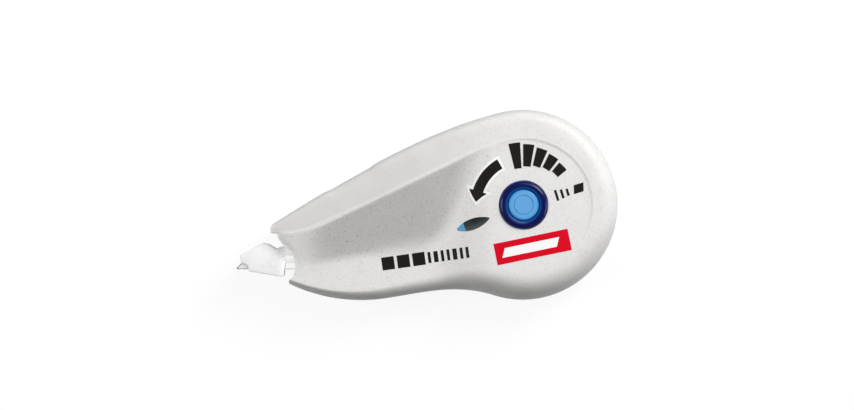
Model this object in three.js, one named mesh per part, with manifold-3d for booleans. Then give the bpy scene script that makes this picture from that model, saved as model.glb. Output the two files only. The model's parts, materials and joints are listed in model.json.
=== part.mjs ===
// Correction tape dispenser: two moulded half shells, a geared winding train and an applicator tip.
// Lengths are millimetres. The pieces are drawn with the winding axis at x = y = 0, +X away from
// the tip, +Z out of the front face and z = 0 on the parting plane between the two shells.
import * as THREE from 'three';
import { mergeVertices } from 'three/addons/utils/BufferGeometryUtils.js';
import Module from 'manifold-3d';

const wasm = await Module();
wasm.setup();

const { degToRad, lerp, smoothstep, clamp } = THREE.MathUtils;

// Outline of the case at the parting plane
const HEAD_RADIUS = 20.0;
const HEAD_TOP_DEG = 103.5;
const HEAD_BOTTOM_DEG = -107.65;
const SHOULDER_X = -51.0;
const SHOULDER_Y = -3.02;
const SHOULDER_SLOPE_DEG = 32.2;
const TOP_PULL = 0.308;
const BELLY_RADIUS = 35.3;
const BELLY_X = -34.05;
const BELLY_DEPTH = 20.08;
const BELLY_END_DEG = 278.7;
const WAIST_PULL = 0.365;
const BLANK_END_X = -54.5;
const GRIP_START_X = -31.2;
const GRIP_END_X = -41.4;
const GRIP_DEPTH = 0.25;
const GRIP_RAMP = 1.6;

// Mouth between the two lips
const MOUTH_FAR_X = -62.0;
const MOUTH_FAR_Y = -19.0;
const UPPER_LIP_X = -53.05;
const UPPER_LIP_Y = -6.0;
const UPPER_LIP_ROUND = 0.8;
const LIP_START_X = -51.6;
const LIP_LIFT = 0.3;
const MOUTH_TOP_X = -51.55;
const MOUTH_BACK_X = -48.1;
const MOUTH_BACK_Y = -11.0;
const MOUTH_BULGE = 0.5;
const LOWER_LIP_X = -49.15;
const LOWER_LIP_Y = -15.5;
const LOWER_LIP_ROUND = 0.7;
const END_WALL = 1.2;
const END_WALL_DROP = 1.4;

// Heights above the parting plane
const CREST_HEIGHT = 8.5;
const HUB_FACE_HEIGHT = 8.3;
const FRONT_FACE_HEIGHT = 5.0;
const CREST_FALL_X = -20.6;
const CREST_FALL_SLOPE = 0.078;
const SEAM_GAP = 0.2;

// Finger scoop between the crest and the front face
const CREST_LINE_Y = 16.15;
const CREST_LINE_SLOPE = 0.48;
const CREST_NOSE_Y = -5.95;
const CREST_BEND = 2.0;
const SCOOP_SLOPE = 0.25;
const SCOOP_FOOT_ROUND = 0.7;
const RAMP_FRONT_X = -18.5;
const RAMP_HUB_X = -6.5;

// Width of the rounded rim from the outline to the crest
const RIM_HEAD_SIDE = 5.0;
const RIM_HEAD_TOP = 5.6;
const RIM_HEAD_BOTTOM = 6.0;
const RIM_BAND = 6.4;
const RIM_NOSE = 0.3;
const RIM_LIP = 1.7;
const RIM_BELLY = 2.9;
const CREST_LAND = 0.8;
const STEP_RUN = 0.6;
const SPINE_SETBACK = 3.0;
const SPINE_RISE = 3.7;

// Power of the rim's section: 2 is a plain ellipse, and more is flatter with a tighter edge
const DOME_LOW = 2.0;
const DOME_SIDE = 3.2;
const DOME_TOP = 6.0;
const DOME_BAND = 9.0;

// Shell wall and what is moulded on it
const WALL = 1.2;
const SNAP_RADIUS = 0.75;
const SNAP_LENGTH = 2.4;
const SNAP_CLEARANCE = 0.15;
const BOSS_RADIUS = 1.5;
const BOSS_SETBACK = 3.2;
const WINDOW_LENGTH = 7.3;
const WINDOW_WIDTH = 2.4;
const WINDOW_X = -10.4;
const WINDOW_Y = -3.95;
const WINDOW_TURN_DEG = 20.4;

// Tape, reels and gears
const TAPE_WIDTH = 5.0;
const TAPE_THICKNESS = 0.15;
const TAPE_CLEARANCE = 0.15;
const FULL_ROLL_RADIUS = 13.1;
const SUPPLY_CORE_RADIUS = 7.5;
const USED_ROLL_RADIUS = 5.8;
const TAKE_UP_DRUM_RADIUS = 5.0;
const TAKE_UP_X = -21.4;
const TAKE_UP_Y = -3.6;
const DRIVE_TEETH = 50;
const PINION_TEETH = 20;
const TOOTH_BACKLASH = 0.12;
const GEAR_THICKNESS = 0.9;
const RUNNING_GAP = 0.15;
const REEL_FLANGE_RADIUS = 7.8;
const REEL_FLANGE_THICKNESS = 0.6;
const AXLE_RADIUS = 2.6;
const TAKE_UP_AXLE_RADIUS = 1.8;
const SEAT_CLEARANCE = 0.2;

// Winding knob
const KNOB_RADIUS = 5.05;
const KNOB_PROUD = 0.7;
const KNOB_EDGE_ROUND = 0.8;
const KNOB_HOLE_CLEARANCE = 0.25;
const CAP_RADIUS = 3.25;
const CAP_LENGTH = 3.2;
const CAP_RECESS = 0.25;
const COLLAR_WALL = 1.1;

// Clutch ring between the drive hub and the supply core
const CLUTCH_WALL = 0.5;
const CLUTCH_SLOT = 1.6;
const CLUTCH_ARMS = 3;
const CLUTCH_NUB = 0.45;
const CORE_NOTCHES = 24;
const CORE_NOTCH_DEPTH = 0.25;

// Applicator tip
const NOSE_X = -60.0;
const NOSE_Y = -13.3;
const CHISEL_RISE = 0.95;
const CHISEL_RUN = 1.0;
const BLADE_REAR_X = -51.2;
const BLADE_REAR_Y = -10.85;
const BLADE_STEP = 0.8;
const CHEEK_THICKNESS = 0.8;
const CHEEK_SETBACK = 0.5;
const CHEEK_DROP = 1.8;
const CHEEK_LENGTH = 9.5;
const CHEEK_HEIGHT = 7.1;
const ARM_START_X = -49.8;
const ARM_END_X = -46.2;
const ARM_TOP_Y = -8.4;
const ARM_BOTTOM_Y = -10.2;
const NECK_BOTTOM_Y = -12.2;
const NECK_SETBACK = 1.2;
const TRUNNION_X = -44.0;
const TRUNNION_RADIUS = 0.95;
const SOCKET_WALL = 0.9;

const COLOURS = {
  shell: { color: 0xdbdad6, roughness: 0.55, metalness: 0 },
  drive: { color: 0x14336c, roughness: 0.2, metalness: 0 },
  cap: { color: 0x6ba6d7, roughness: 0.3, metalness: 0 },
  clutch: { color: 0xe9e9e6, roughness: 0.5, metalness: 0 },
  reel: { color: 0xf1f1ee, roughness: 0.45, metalness: 0 },
  freshTape: { color: 0x4a4947, roughness: 0.7, metalness: 0 },
  usedTape: { color: 0xcfd6dc, roughness: 0.4, metalness: 0 },
  tip: { color: 0xececec, roughness: 0.3, metalness: 0 },
};

// Sizes that follow from the driving dimensions
const TAPE_TOP = TAPE_WIDTH / 2;
const GEAR_TOP = -(TAPE_TOP + RUNNING_GAP);
const GEAR_BOTTOM = GEAR_TOP - GEAR_THICKNESS;
const CENTRE_DISTANCE = Math.hypot(TAKE_UP_X, TAKE_UP_Y);
const MESH_DEG = THREE.MathUtils.radToDeg(Math.atan2(TAKE_UP_Y, TAKE_UP_X));
const GEAR_MODULE = (2 * CENTRE_DISTANCE) / (DRIVE_TEETH + PINION_TEETH);
const KNOB_TOP = HUB_FACE_HEIGHT + KNOB_PROUD;
const KNOB_HOLE_RADIUS = KNOB_RADIUS + KNOB_HOLE_CLEARANCE;
const CHEEK_INNER = TAPE_TOP + RUNNING_GAP;
const CHEEK_OUTER = CHEEK_INNER + CHEEK_THICKNESS;
const BLADE_HALF_WIDTH = CHEEK_INNER + CHEEK_THICKNESS / 4;
const INNER_FRONT_HEIGHT = FRONT_FACE_HEIGHT - WALL;
const STRAND_OFFSET = TAPE_CLEARANCE + TAPE_THICKNESS / 2;
const BELOW_SEAM = -1.0;
const ABOVE_CREST = CREST_HEIGHT + 1;
const SPINE_END = new THREE.Vector2(BLANK_END_X + SPINE_SETBACK, NOSE_Y + SPINE_RISE);

// Counts for curved surfaces
const HEAD_STEPS = 36;
const BAND_STEPS = 24;
const FRONT_STEPS = 4;
const DOME_STEPS = 5;
const FACE_STEPS = 6;
const ROUND_STEPS = 48;

// Geometry helpers

/** Joins shared corners and drops the slivers that a pole leaves, so that the mesh is closed. */
function closed(geometry) {
  const bare = geometry.clone();
  bare.deleteAttribute('normal');
  bare.deleteAttribute('uv');
  const merged = mergeVertices(bare, 1e-4);
  const index = merged.getIndex().array;
  const kept = [];
  for (let i = 0; i < index.length; i += 3) {
    const [a, b, c] = [index[i], index[i + 1], index[i + 2]];
    if (a !== b && b !== c && c !== a) kept.push(a, b, c);
  }
  merged.setIndex(kept);
  return merged;
}

function toSolid(geometry) {
  const merged = closed(geometry);
  const mesh = new wasm.Mesh({
    numProp: 3,
    vertProperties: new Float32Array(merged.getAttribute('position').array),
    triVerts: new Uint32Array(merged.getIndex().array),
  });
  return new wasm.Manifold(mesh);
}

function toGeometry(solid) {
  const mesh = solid.getMesh();
  const geometry = new THREE.BufferGeometry();
  geometry.setAttribute('position', new THREE.BufferAttribute(mesh.vertProperties, 3));
  geometry.setIndex(new THREE.BufferAttribute(mesh.triVerts, 1));
  return geometry;
}

/** The same solid with front and back exchanged. */
function flipZ(geometry) {
  const flipped = closed(geometry);
  flipped.scale(1, 1, -1);
  const index = flipped.getIndex().array;
  for (let i = 0; i < index.length; i += 3) {
    [index[i], index[i + 1]] = [index[i + 1], index[i]];
  }
  return flipped;
}

/** A flat outline extruded from one height to another. */
function prism(shape, bottom, top, curveSegments = 8) {
  const settings = { depth: top - bottom, bevelEnabled: false, curveSegments };
  return new THREE.ExtrudeGeometry(shape, settings).translate(0, 0, bottom);
}

/** A round bar along Z. */
function bar(x, y, radius, bottom, top, steps = 24) {
  const height = top - bottom;
  return new THREE.CylinderGeometry(radius, radius, height, steps)
    .rotateX(Math.PI / 2)
    .translate(x, y, bottom + height / 2);
}

/** A body of revolution about Z from points [radius, height] that start and end on the axis or meet. */
function turned(points, steps = ROUND_STEPS) {
  const profile = points.map(([radius, height]) => new THREE.Vector2(radius, height));
  return new THREE.LatheGeometry(profile, steps).rotateX(Math.PI / 2);
}

/** A plain tube about Z. */
function sleeve(inner, outer, bottom, top, steps = ROUND_STEPS) {
  return turned([[inner, bottom], [outer, bottom], [outer, top], [inner, top], [inner, bottom]], steps);
}

function polygon(points) {
  return new THREE.Shape(points.map(([x, y]) => new THREE.Vector2(x, y)));
}

function onCircle(radius, degrees) {
  const angle = degToRad(degrees);
  return new THREE.Vector2(radius * Math.cos(angle), radius * Math.sin(angle));
}

/** The larger of two heights with a rounded valley where they cross. */
function roundedMax(a, b, round) {
  const share = Math.max(round - Math.abs(a - b), 0) / round;
  return Math.max(a, b) + (share * share * round) / 4;
}

// Case outline and faces

function headCurve() {
  const from = degToRad(HEAD_BOTTOM_DEG);
  const to = degToRad(HEAD_TOP_DEG);
  return new THREE.EllipseCurve(0, 0, HEAD_RADIUS, HEAD_RADIUS, from, to, false);
}

function topCurve() {
  const start = onCircle(HEAD_RADIUS, HEAD_TOP_DEG);
  const shoulder = new THREE.Vector2(SHOULDER_X, SHOULDER_Y);
  const pull = TOP_PULL * start.distanceTo(shoulder);
  const leave = onCircle(pull, HEAD_TOP_DEG + 90).add(start);
  const arrive = onCircle(pull, SHOULDER_SLOPE_DEG).add(shoulder);
  const run = SHOULDER_X - BLANK_END_X;
  const end = new THREE.Vector2(BLANK_END_X, SHOULDER_Y - run * Math.tan(degToRad(SHOULDER_SLOPE_DEG)));
  const path = new THREE.CurvePath();
  path.add(new THREE.CubicBezierCurve(start, leave, arrive, shoulder));
  path.add(new THREE.LineCurve(shoulder, end));
  return path;
}

function bottomCurve() {
  const centreY = BELLY_RADIUS - BELLY_DEPTH;
  const fromAngle = -Math.acos((BLANK_END_X - BELLY_X) / BELLY_RADIUS);
  const toAngle = degToRad(BELLY_END_DEG - 360);
  const bellyEnd = onCircle(BELLY_RADIUS, BELLY_END_DEG).add(new THREE.Vector2(BELLY_X, centreY));
  const headEnd = onCircle(HEAD_RADIUS, HEAD_BOTTOM_DEG);
  const pull = WAIST_PULL * bellyEnd.distanceTo(headEnd);
  const leave = onCircle(pull, BELLY_END_DEG + 90).add(bellyEnd);
  const arrive = onCircle(pull, HEAD_BOTTOM_DEG - 90).add(headEnd);
  const path = new THREE.CurvePath();
  path.add(new THREE.EllipseCurve(BELLY_X, centreY, BELLY_RADIUS, BELLY_RADIUS, fromAngle, toAngle, false));
  path.add(new THREE.CubicBezierCurve(bellyEnd, leave, arrive, headEnd));
  return path;
}

function headRimWidth(degrees) {
  const end = degrees < 0 ? RIM_HEAD_BOTTOM : RIM_HEAD_TOP;
  return lerp(RIM_HEAD_SIDE, end, smoothstep(Math.abs(degrees), 0, 90));
}

/** Rim width along the top band: even at first, and then so that the crest keeps to its line. */
function topRimWidth(share, point, inward) {
  const band = lerp(RIM_HEAD_TOP, RIM_BAND, smoothstep(share, 0, 0.35));
  let reach = band;
  for (let i = 0; i < 12; i += 1) {
    reach = (crestLineY(point.x + inward.x * reach) - point.y) / inward.y;
  }
  const onLine = Math.max(reach - CREST_LAND, RIM_NOSE);
  return lerp(band, Math.min(band, onLine), smoothstep(share, 0.35, 0.6));
}

function bottomRimWidth(share) {
  const belly = lerp(RIM_LIP, RIM_BELLY, clamp(share / 0.7, 0, 1));
  return lerp(belly, RIM_HEAD_BOTTOM, smoothstep(share, 0.7, 1.03));
}

/** Height of the crest that runs along the top band and round the head. */
function crestHeight(x) {
  return CREST_HEIGHT - CREST_FALL_SLOPE * Math.max(CREST_FALL_X - x, 0);
}

/** The line where the finger scoop starts, which bends level before the nose. */
function crestLineY(x) {
  return roundedMax(CREST_LINE_Y + CREST_LINE_SLOPE * x, CREST_NOSE_Y, CREST_BEND);
}

/** Height of the outer face inside the crest: the finger scoop, the front face and the hub face. */
function faceHeight(x, y) {
  const crest = crestHeight(x);
  const scoop = Math.min(crest, crest - SCOOP_SLOPE * (crestLineY(x) - y));
  const ramp = lerp(FRONT_FACE_HEIGHT, HUB_FACE_HEIGHT, smoothstep(x, RAMP_FRONT_X, RAMP_HUB_X));
  return roundedMax(scoop, ramp, SCOOP_FOOT_ROUND);
}

/** The power of the head rim's section at an angle round the head. */
function headDome(degrees) {
  const side = lerp(DOME_LOW, DOME_SIDE, smoothstep(degrees, -45, 10));
  return lerp(side, DOME_TOP, smoothstep(degrees, 20, HEAD_TOP_DEG));
}

/** How deep the shallow grip recess in the top edge is. */
function gripDepth(x) {
  const start = smoothstep(-x, -GRIP_START_X, GRIP_RAMP - GRIP_START_X);
  const end = smoothstep(x, GRIP_END_X, GRIP_END_X + GRIP_RAMP);
  return GRIP_DEPTH * start * end;
}

/** Stations round the case: outline point, inward direction, rim width and power, crest share, spine point. */
function caseStations(crestAllRound, detail) {
  const stations = [];
  const add = (curve, share, rim, dome, crest, spineShare) => {
    const point = curve.getPoint(share);
    const along = curve.getTangent(share);
    const inward = new THREE.Vector2(-along.y, along.x);
    if (curve === top) point.addScaledVector(inward, gripDepth(point.x));
    const spine = SPINE_END.clone().multiplyScalar(spineShare);
    stations.push({ point, inward, rim, dome, crest, spine });
  };
  const top = topCurve();
  const head = headCurve();
  const headSteps = Math.round(HEAD_STEPS * detail);
  for (let i = 0; i < headSteps; i += 1) {
    const share = i / headSteps;
    const degrees = lerp(HEAD_BOTTOM_DEG, HEAD_TOP_DEG, share);
    const crest = crestAllRound ? 1 : smoothstep(degrees, -45, -10);
    add(head, share, headRimWidth(degrees), headDome(degrees), crest, 0);
  }
  const bandSteps = Math.round(BAND_STEPS * detail);
  for (let i = 0; i <= bandSteps; i += 1) {
    const share = i / bandSteps;
    const along = top.getTangent(share);
    const rim = topRimWidth(share, top.getPoint(share), new THREE.Vector2(-along.y, along.x));
    add(top, share, rim, lerp(DOME_TOP, DOME_BAND, smoothstep(share, 0, 0.4)), 1, share);
  }
  const bottom = bottomCurve();
  const front = new THREE.LineCurve(top.getPoint(1), bottom.getPoint(0));
  for (let i = 1; i < FRONT_STEPS; i += 1) {
    const share = i / FRONT_STEPS;
    add(front, share, lerp(RIM_NOSE, RIM_LIP, share), lerp(DOME_BAND, DOME_LOW, share), 1 - share, 1);
  }
  for (let i = 0; i < bandSteps; i += 1) {
    const share = i / bandSteps;
    const crest = crestAllRound ? smoothstep(share, 0.8, 1) : 0;
    add(bottom, share, bottomRimWidth(share), DOME_LOW, crest, 1 - share);
  }
  return stations;
}

/** One section of the case from the outline inwards: rounded rim, crest land, step and face. */
function caseSection(station, inset, floor, detail) {
  const { point, inward, rim, dome, crest, spine } = station;
  const domeSteps = Math.round(DOME_STEPS * detail);
  const faceSteps = Math.round(FACE_STEPS * detail);
  const at = (depth) => point.clone().addScaledVector(inward, depth);
  const crestPoint = at(rim);
  const crestTop = crestHeight(crestPoint.x);
  const top = lerp(faceHeight(crestPoint.x, crestPoint.y), crestTop, crest) - inset;
  const domeWidth = Math.max(rim - CREST_LAND / 2 - inset, 0.3);
  const section = [new THREE.Vector3(at(inset).x, at(inset).y, floor)];
  for (let i = 1; i <= domeSteps; i += 1) {
    const angle = (i / domeSteps) * (Math.PI / 2);
    const place = at(inset + domeWidth * (1 - Math.cos(angle) ** (2 / dome)));
    section.push(new THREE.Vector3(place.x, place.y, top * Math.sin(angle) ** (2 / dome)));
  }
  const landDepth = Math.max(rim + CREST_LAND / 2, inset + domeWidth);
  const landEnd = at(landDepth);
  section.push(new THREE.Vector3(landEnd.x, landEnd.y, top));
  const stepEnd = at(landDepth + STEP_RUN);
  for (let i = 0; i <= faceSteps; i += 1) {
    const place = stepEnd.clone().lerp(spine, i / faceSteps);
    section.push(new THREE.Vector3(place.x, place.y, faceHeight(place.x, place.y) - inset));
  }
  section.push(new THREE.Vector3(spine.x, spine.y, floor));
  return section;
}

/** The case blank as a closed loft through its sections, from a floor height up to the outer face. */
function caseBlank({ inset, floor, crestAllRound = false, detail = 1 }) {
  const stations = caseStations(crestAllRound, detail);
  const sections = stations.map((station) => caseSection(station, inset, floor, detail));
  const rows = sections[0].length;
  const spineTop = rows - 2;
  const positions = sections.flat().flatMap((corner) => [corner.x, corner.y, corner.z]);
  const index = [];
  sections.forEach((_, i) => {
    const here = i * rows;
    const next = ((i + 1) % sections.length) * rows;
    for (let j = 0; j < rows; j += 1) {
      const up = (j + 1) % rows;
      if (j !== spineTop) index.push(here + j, next + j, next + up, here + j, next + up, here + up);
    }
  });
  const geometry = new THREE.BufferGeometry();
  geometry.setAttribute('position', new THREE.Float32BufferAttribute(positions, 3));
  geometry.setIndex(index);
  return geometry;
}

// Case shells

/** Height of the straight end of the top edge, between the shoulder and the nose. */
function topEdgeY(x) {
  return SHOULDER_Y + (x - SHOULDER_X) * Math.tan(degToRad(SHOULDER_SLOPE_DEG));
}

/** The cut that opens the case for the tip and gives the two lips their shape. */
function mouthShape() {
  const acrossTop = MOUTH_BACK_X - MOUTH_TOP_X;
  const downTop = MOUTH_BACK_Y - UPPER_LIP_Y;
  const downLow = LOWER_LIP_Y - MOUTH_BACK_Y;
  const lowerX = LOWER_LIP_X + LOWER_LIP_ROUND;
  const shape = new THREE.Shape();
  const lipStart = topEdgeY(LIP_START_X);
  const lipCorner = topEdgeY(UPPER_LIP_X + LIP_LIFT);
  shape.moveTo(MOUTH_FAR_X, 0);
  shape.lineTo(LIP_START_X, lipStart + LIP_LIFT);
  shape.lineTo(LIP_START_X, lipStart);
  shape.quadraticCurveTo(UPPER_LIP_X, lipCorner, UPPER_LIP_X, UPPER_LIP_Y + UPPER_LIP_ROUND);
  shape.quadraticCurveTo(UPPER_LIP_X, UPPER_LIP_Y, UPPER_LIP_X + UPPER_LIP_ROUND, UPPER_LIP_Y);
  shape.lineTo(MOUTH_TOP_X, UPPER_LIP_Y);
  shape.bezierCurveTo(
    MOUTH_TOP_X + acrossTop * 0.07, UPPER_LIP_Y + downTop * 0.47,
    MOUTH_TOP_X + acrossTop * 0.855, UPPER_LIP_Y + downTop * 0.59,
    MOUTH_BACK_X, MOUTH_BACK_Y,
  );
  shape.bezierCurveTo(
    MOUTH_BACK_X + MOUTH_BULGE, MOUTH_BACK_Y + downLow * 0.36,
    MOUTH_BACK_X + MOUTH_BULGE * 0.8, MOUTH_BACK_Y + downLow * 0.62,
    lowerX, LOWER_LIP_Y,
  );
  shape.quadraticCurveTo(LOWER_LIP_X, LOWER_LIP_Y, LOWER_LIP_X, LOWER_LIP_Y - LOWER_LIP_ROUND);
  shape.lineTo(LOWER_LIP_X, MOUTH_FAR_Y);
  shape.lineTo(MOUTH_FAR_X, MOUTH_FAR_Y);
  shape.closePath();
  return shape;
}

/** The part of the nose that stays solid, so that the upper lip ends in a wall. */
function noseShape() {
  const back = MOUTH_TOP_X + END_WALL;
  const low = UPPER_LIP_Y - END_WALL_DROP;
  return polygon([
    [MOUTH_FAR_X, MOUTH_BULGE],
    [back, MOUTH_BULGE],
    [back, UPPER_LIP_Y],
    [lerp(MOUTH_TOP_X, MOUTH_BACK_X, 0.5) + END_WALL, low],
    [MOUTH_FAR_X, low],
  ]);
}

function windowShape() {
  const half = WINDOW_LENGTH / 2;
  const heel = WINDOW_WIDTH * 0.18;
  const bulge = WINDOW_WIDTH * 0.62;
  const shape = new THREE.Shape();
  shape.moveTo(half, 0);
  shape.bezierCurveTo(half * 0.4, bulge, -half * 0.4, bulge, heel - half, heel);
  shape.absarc(heel - half, 0, heel, Math.PI / 2, (3 * Math.PI) / 2, false);
  shape.bezierCurveTo(-half * 0.4, -bulge, half * 0.4, -bulge, half, 0);
  return shape;
}

/** A place inside the case, set back from a share of one of its outline curves. */
function setBack(curve, share, depth) {
  const along = curve.getTangent(share);
  return curve.getPoint(share).addScaledVector(new THREE.Vector2(-along.y, along.x), depth);
}

/** Places of the snap pins: three round the head, two under the band and one in the belly. */
function snapPlaces() {
  const ring = HEAD_RADIUS - BOSS_RADIUS - WALL / 2;
  return [
    onCircle(ring, 62),
    onCircle(ring, -28),
    onCircle(ring, -98),
    setBack(topCurve(), 0.47, BOSS_SETBACK),
    setBack(topCurve(), 0.83, BOSS_SETBACK),
    setBack(bottomCurve(), 0.385, BOSS_SETBACK),
  ];
}

/** The hollow shell with the mouth open, seen from its own outer side. */
function openShell(crestAllRound) {
  const outer = toSolid(caseBlank({ inset: 0, floor: SEAM_GAP / 2, crestAllRound }));
  const hollow = toSolid(caseBlank({ inset: WALL, floor: BELOW_SEAM, crestAllRound, detail: 0.67 }));
  const nose = toSolid(prism(noseShape(), BELOW_SEAM, ABOVE_CREST));
  const mouth = toSolid(prism(mouthShape(), BELOW_SEAM, ABOVE_CREST));
  return outer.subtract(hollow.subtract(nose)).subtract(mouth);
}

/** Joins moulded posts to a shell and trims them inside its wall. */
function withPosts(shell, posts, crestAllRound) {
  const limit = toSolid(caseBlank({ inset: WALL / 2, floor: -SNAP_LENGTH - 1, crestAllRound, detail: 0.67 }));
  const joined = posts.map(toSolid).reduce((all, post) => all.add(post));
  return shell.add(joined.intersect(limit));
}

/** A short tube that holds one end of the tip's cross bar. */
function trunnionSocket() {
  const inner = TRUNNION_RADIUS + SEAT_CLEARANCE;
  const bottom = BLADE_HALF_WIDTH + SEAT_CLEARANCE;
  return sleeve(inner, inner + SOCKET_WALL, bottom, FRONT_FACE_HEIGHT, 24)
    .translate(TRUNNION_X, neckMiddleY(), 0);
}

function frontShell() {
  const seam = SEAM_GAP / 2;
  const posts = [];
  for (const place of snapPlaces()) {
    posts.push(bar(place.x, place.y, BOSS_RADIUS, seam, CREST_HEIGHT, 16));
    posts.push(bar(place.x, place.y, SNAP_RADIUS, -SNAP_LENGTH, seam + 1, 12));
  }
  const collarBottom = TAPE_TOP + RUNNING_GAP * 4;
  posts.push(sleeve(KNOB_HOLE_RADIUS, KNOB_HOLE_RADIUS + COLLAR_WALL, collarBottom, HUB_FACE_HEIGHT));
  posts.push(trunnionSocket());
  const hole = toSolid(bar(0, 0, KNOB_HOLE_RADIUS, BELOW_SEAM, ABOVE_CREST, ROUND_STEPS));
  const window = prism(windowShape(), BELOW_SEAM, ABOVE_CREST)
    .rotateZ(degToRad(WINDOW_TURN_DEG))
    .translate(WINDOW_X, WINDOW_Y, 0);
  return toGeometry(withPosts(openShell(false), posts, false).subtract(hole).subtract(toSolid(window)));
}

function backShell() {
  const seam = SEAM_GAP / 2;
  const posts = snapPlaces().map((place) => bar(place.x, place.y, BOSS_RADIUS, seam, CREST_HEIGHT, 16));
  posts.push(trunnionSocket());
  const bores = snapPlaces().map((place) => {
    const radius = SNAP_RADIUS + SNAP_CLEARANCE;
    return toSolid(bar(place.x, place.y, radius, BELOW_SEAM, SNAP_LENGTH + 2 * SEAM_GAP, 12));
  });
  const drilled = bores.reduce((shell, bore) => shell.subtract(bore), withPosts(openShell(true), posts, true));
  const axleTop = CAP_LENGTH - KNOB_TOP + SEAT_CLEARANCE + CAP_RECESS;
  const axle = bar(0, 0, AXLE_RADIUS, axleTop, HUB_FACE_HEIGHT - WALL / 2, 32);
  const reelFloor = faceHeight(TAKE_UP_X, TAKE_UP_Y) - WALL / 2;
  const reelAxle = bar(TAKE_UP_X, TAKE_UP_Y, TAKE_UP_AXLE_RADIUS, -TAPE_TOP, reelFloor, 24);
  return flipZ(toGeometry(drilled.add(toSolid(axle)).add(toSolid(reelAxle))));
}

// Gears and reels

/** A toothed outline with straight-flanked teeth, one tooth pointing along +X when turn is 0. */
function gearShape(teeth, bore, turn) {
  const pitchRadius = (GEAR_MODULE * teeth) / 2;
  const pitchAngle = (2 * Math.PI) / teeth;
  const root = pitchRadius - 1.15 * GEAR_MODULE;
  const tip = pitchRadius + 0.8 * GEAR_MODULE;
  const thinner = TOOTH_BACKLASH / pitchRadius / 2;
  const rootHalf = pitchAngle * 0.34 - thinner;
  const tipHalf = pitchAngle * 0.13 - thinner / 2;
  const shape = new THREE.Shape();
  for (let i = 0; i < teeth; i += 1) {
    const middle = turn + i * pitchAngle;
    const corners = [[root, -rootHalf], [tip, -tipHalf], [tip, tipHalf], [root, rootHalf]];
    for (const [radius, offset] of corners) {
      const x = radius * Math.cos(middle + offset);
      const y = radius * Math.sin(middle + offset);
      if (shape.curves.length === 0 && shape.currentPoint.lengthSq() === 0) shape.moveTo(x, y);
      else shape.lineTo(x, y);
    }
  }
  shape.closePath();
  shape.holes.push(new THREE.Path().absarc(0, 0, bore, 0, 2 * Math.PI, true));
  return shape;
}

/** The drive gear: toothed web, and a hub that runs out through the front shell as the knob. */
function driveGear() {
  const web = prism(gearShape(DRIVE_TEETH, KNOB_RADIUS - 1, degToRad(MESH_DEG)), GEAR_BOTTOM, GEAR_TOP, 12);
  const bore = AXLE_RADIUS + RUNNING_GAP;
  const capSeat = CAP_RADIUS + SEAT_CLEARANCE;
  const capFloor = KNOB_TOP - CAP_RECESS - CAP_LENGTH - SEAT_CLEARANCE;
  const profile = [
    [bore, GEAR_BOTTOM],
    [KNOB_RADIUS, GEAR_BOTTOM],
    [KNOB_RADIUS, KNOB_TOP - KNOB_EDGE_ROUND],
  ];
  for (const degrees of [30, 60, 90]) {
    const corner = onCircle(KNOB_EDGE_ROUND, degrees);
    profile.push([KNOB_RADIUS - KNOB_EDGE_ROUND + corner.x, KNOB_TOP - KNOB_EDGE_ROUND + corner.y]);
  }
  profile.push([capSeat, KNOB_TOP], [capSeat, capFloor], [bore, capFloor], [bore, GEAR_BOTTOM]);
  return toGeometry(toSolid(turned(profile)).add(toSolid(web)));
}

function knobCap() {
  const top = KNOB_TOP - CAP_RECESS;
  const round = CAP_RADIUS * 0.12;
  return closed(turned([
    [0, top - CAP_LENGTH],
    [CAP_RADIUS, top - CAP_LENGTH],
    [CAP_RADIUS, top - round],
    [CAP_RADIUS - round, top],
    [0, top],
  ]));
}

/** A split ring with nubs that drag in the notches of the supply core. */
function clutchRing() {
  const inner = KNOB_RADIUS + RUNNING_GAP;
  const outer = inner + CLUTCH_WALL;
  const ring = toSolid(sleeve(inner, outer, -TAPE_TOP, TAPE_TOP));
  const nubs = [];
  for (let i = 0; i < CLUTCH_ARMS; i += 1) {
    const place = onCircle(outer, 60 + (i * 360) / CLUTCH_ARMS);
    nubs.push(toSolid(bar(place.x, place.y, CLUTCH_NUB, -TAPE_TOP / 2, TAPE_TOP / 2, 10)));
  }
  const slot = new THREE.BoxGeometry(outer * 2, CLUTCH_SLOT, TAPE_WIDTH + 1).translate(outer, 0, 0);
  return toGeometry(nubs.reduce((all, nub) => all.add(nub), ring).subtract(toSolid(slot)));
}

/** The sleeve that carries the fresh tape, with a ring of shallow notches in its bore. */
function supplyCore() {
  const bore = KNOB_RADIUS + RUNNING_GAP + CLUTCH_WALL + CLUTCH_NUB + RUNNING_GAP;
  const shape = new THREE.Shape().absarc(0, 0, SUPPLY_CORE_RADIUS, 0, 2 * Math.PI, false);
  const notches = new THREE.Path();
  const points = [];
  for (let i = 0; i < CORE_NOTCHES * 2; i += 1) {
    const radius = bore + (i % 2) * CORE_NOTCH_DEPTH;
    points.push(onCircle(radius, (-i * 180) / CORE_NOTCHES));
  }
  notches.setFromPoints(points);
  shape.holes.push(notches);
  return closed(prism(shape, -TAPE_TOP, TAPE_TOP, 24));
}

function tapeRoll(inner, outer) {
  return closed(sleeve(inner + TAPE_CLEARANCE, outer, -TAPE_TOP, TAPE_TOP));
}

/** The take-up drum with its pinion; one tooth gap faces the drive gear. */
function takeUpReel() {
  const bore = TAKE_UP_AXLE_RADIUS + RUNNING_GAP;
  const gapTurn = degToRad(MESH_DEG + 180 + 180 / PINION_TEETH);
  const pinion = prism(gearShape(PINION_TEETH, bore, gapTurn), GEAR_BOTTOM, GEAR_TOP, 12);
  const drum = sleeve(bore, TAKE_UP_DRUM_RADIUS, GEAR_TOP - 0.3, TAPE_TOP);
  return toGeometry(toSolid(drum).add(toSolid(pinion)));
}

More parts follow.
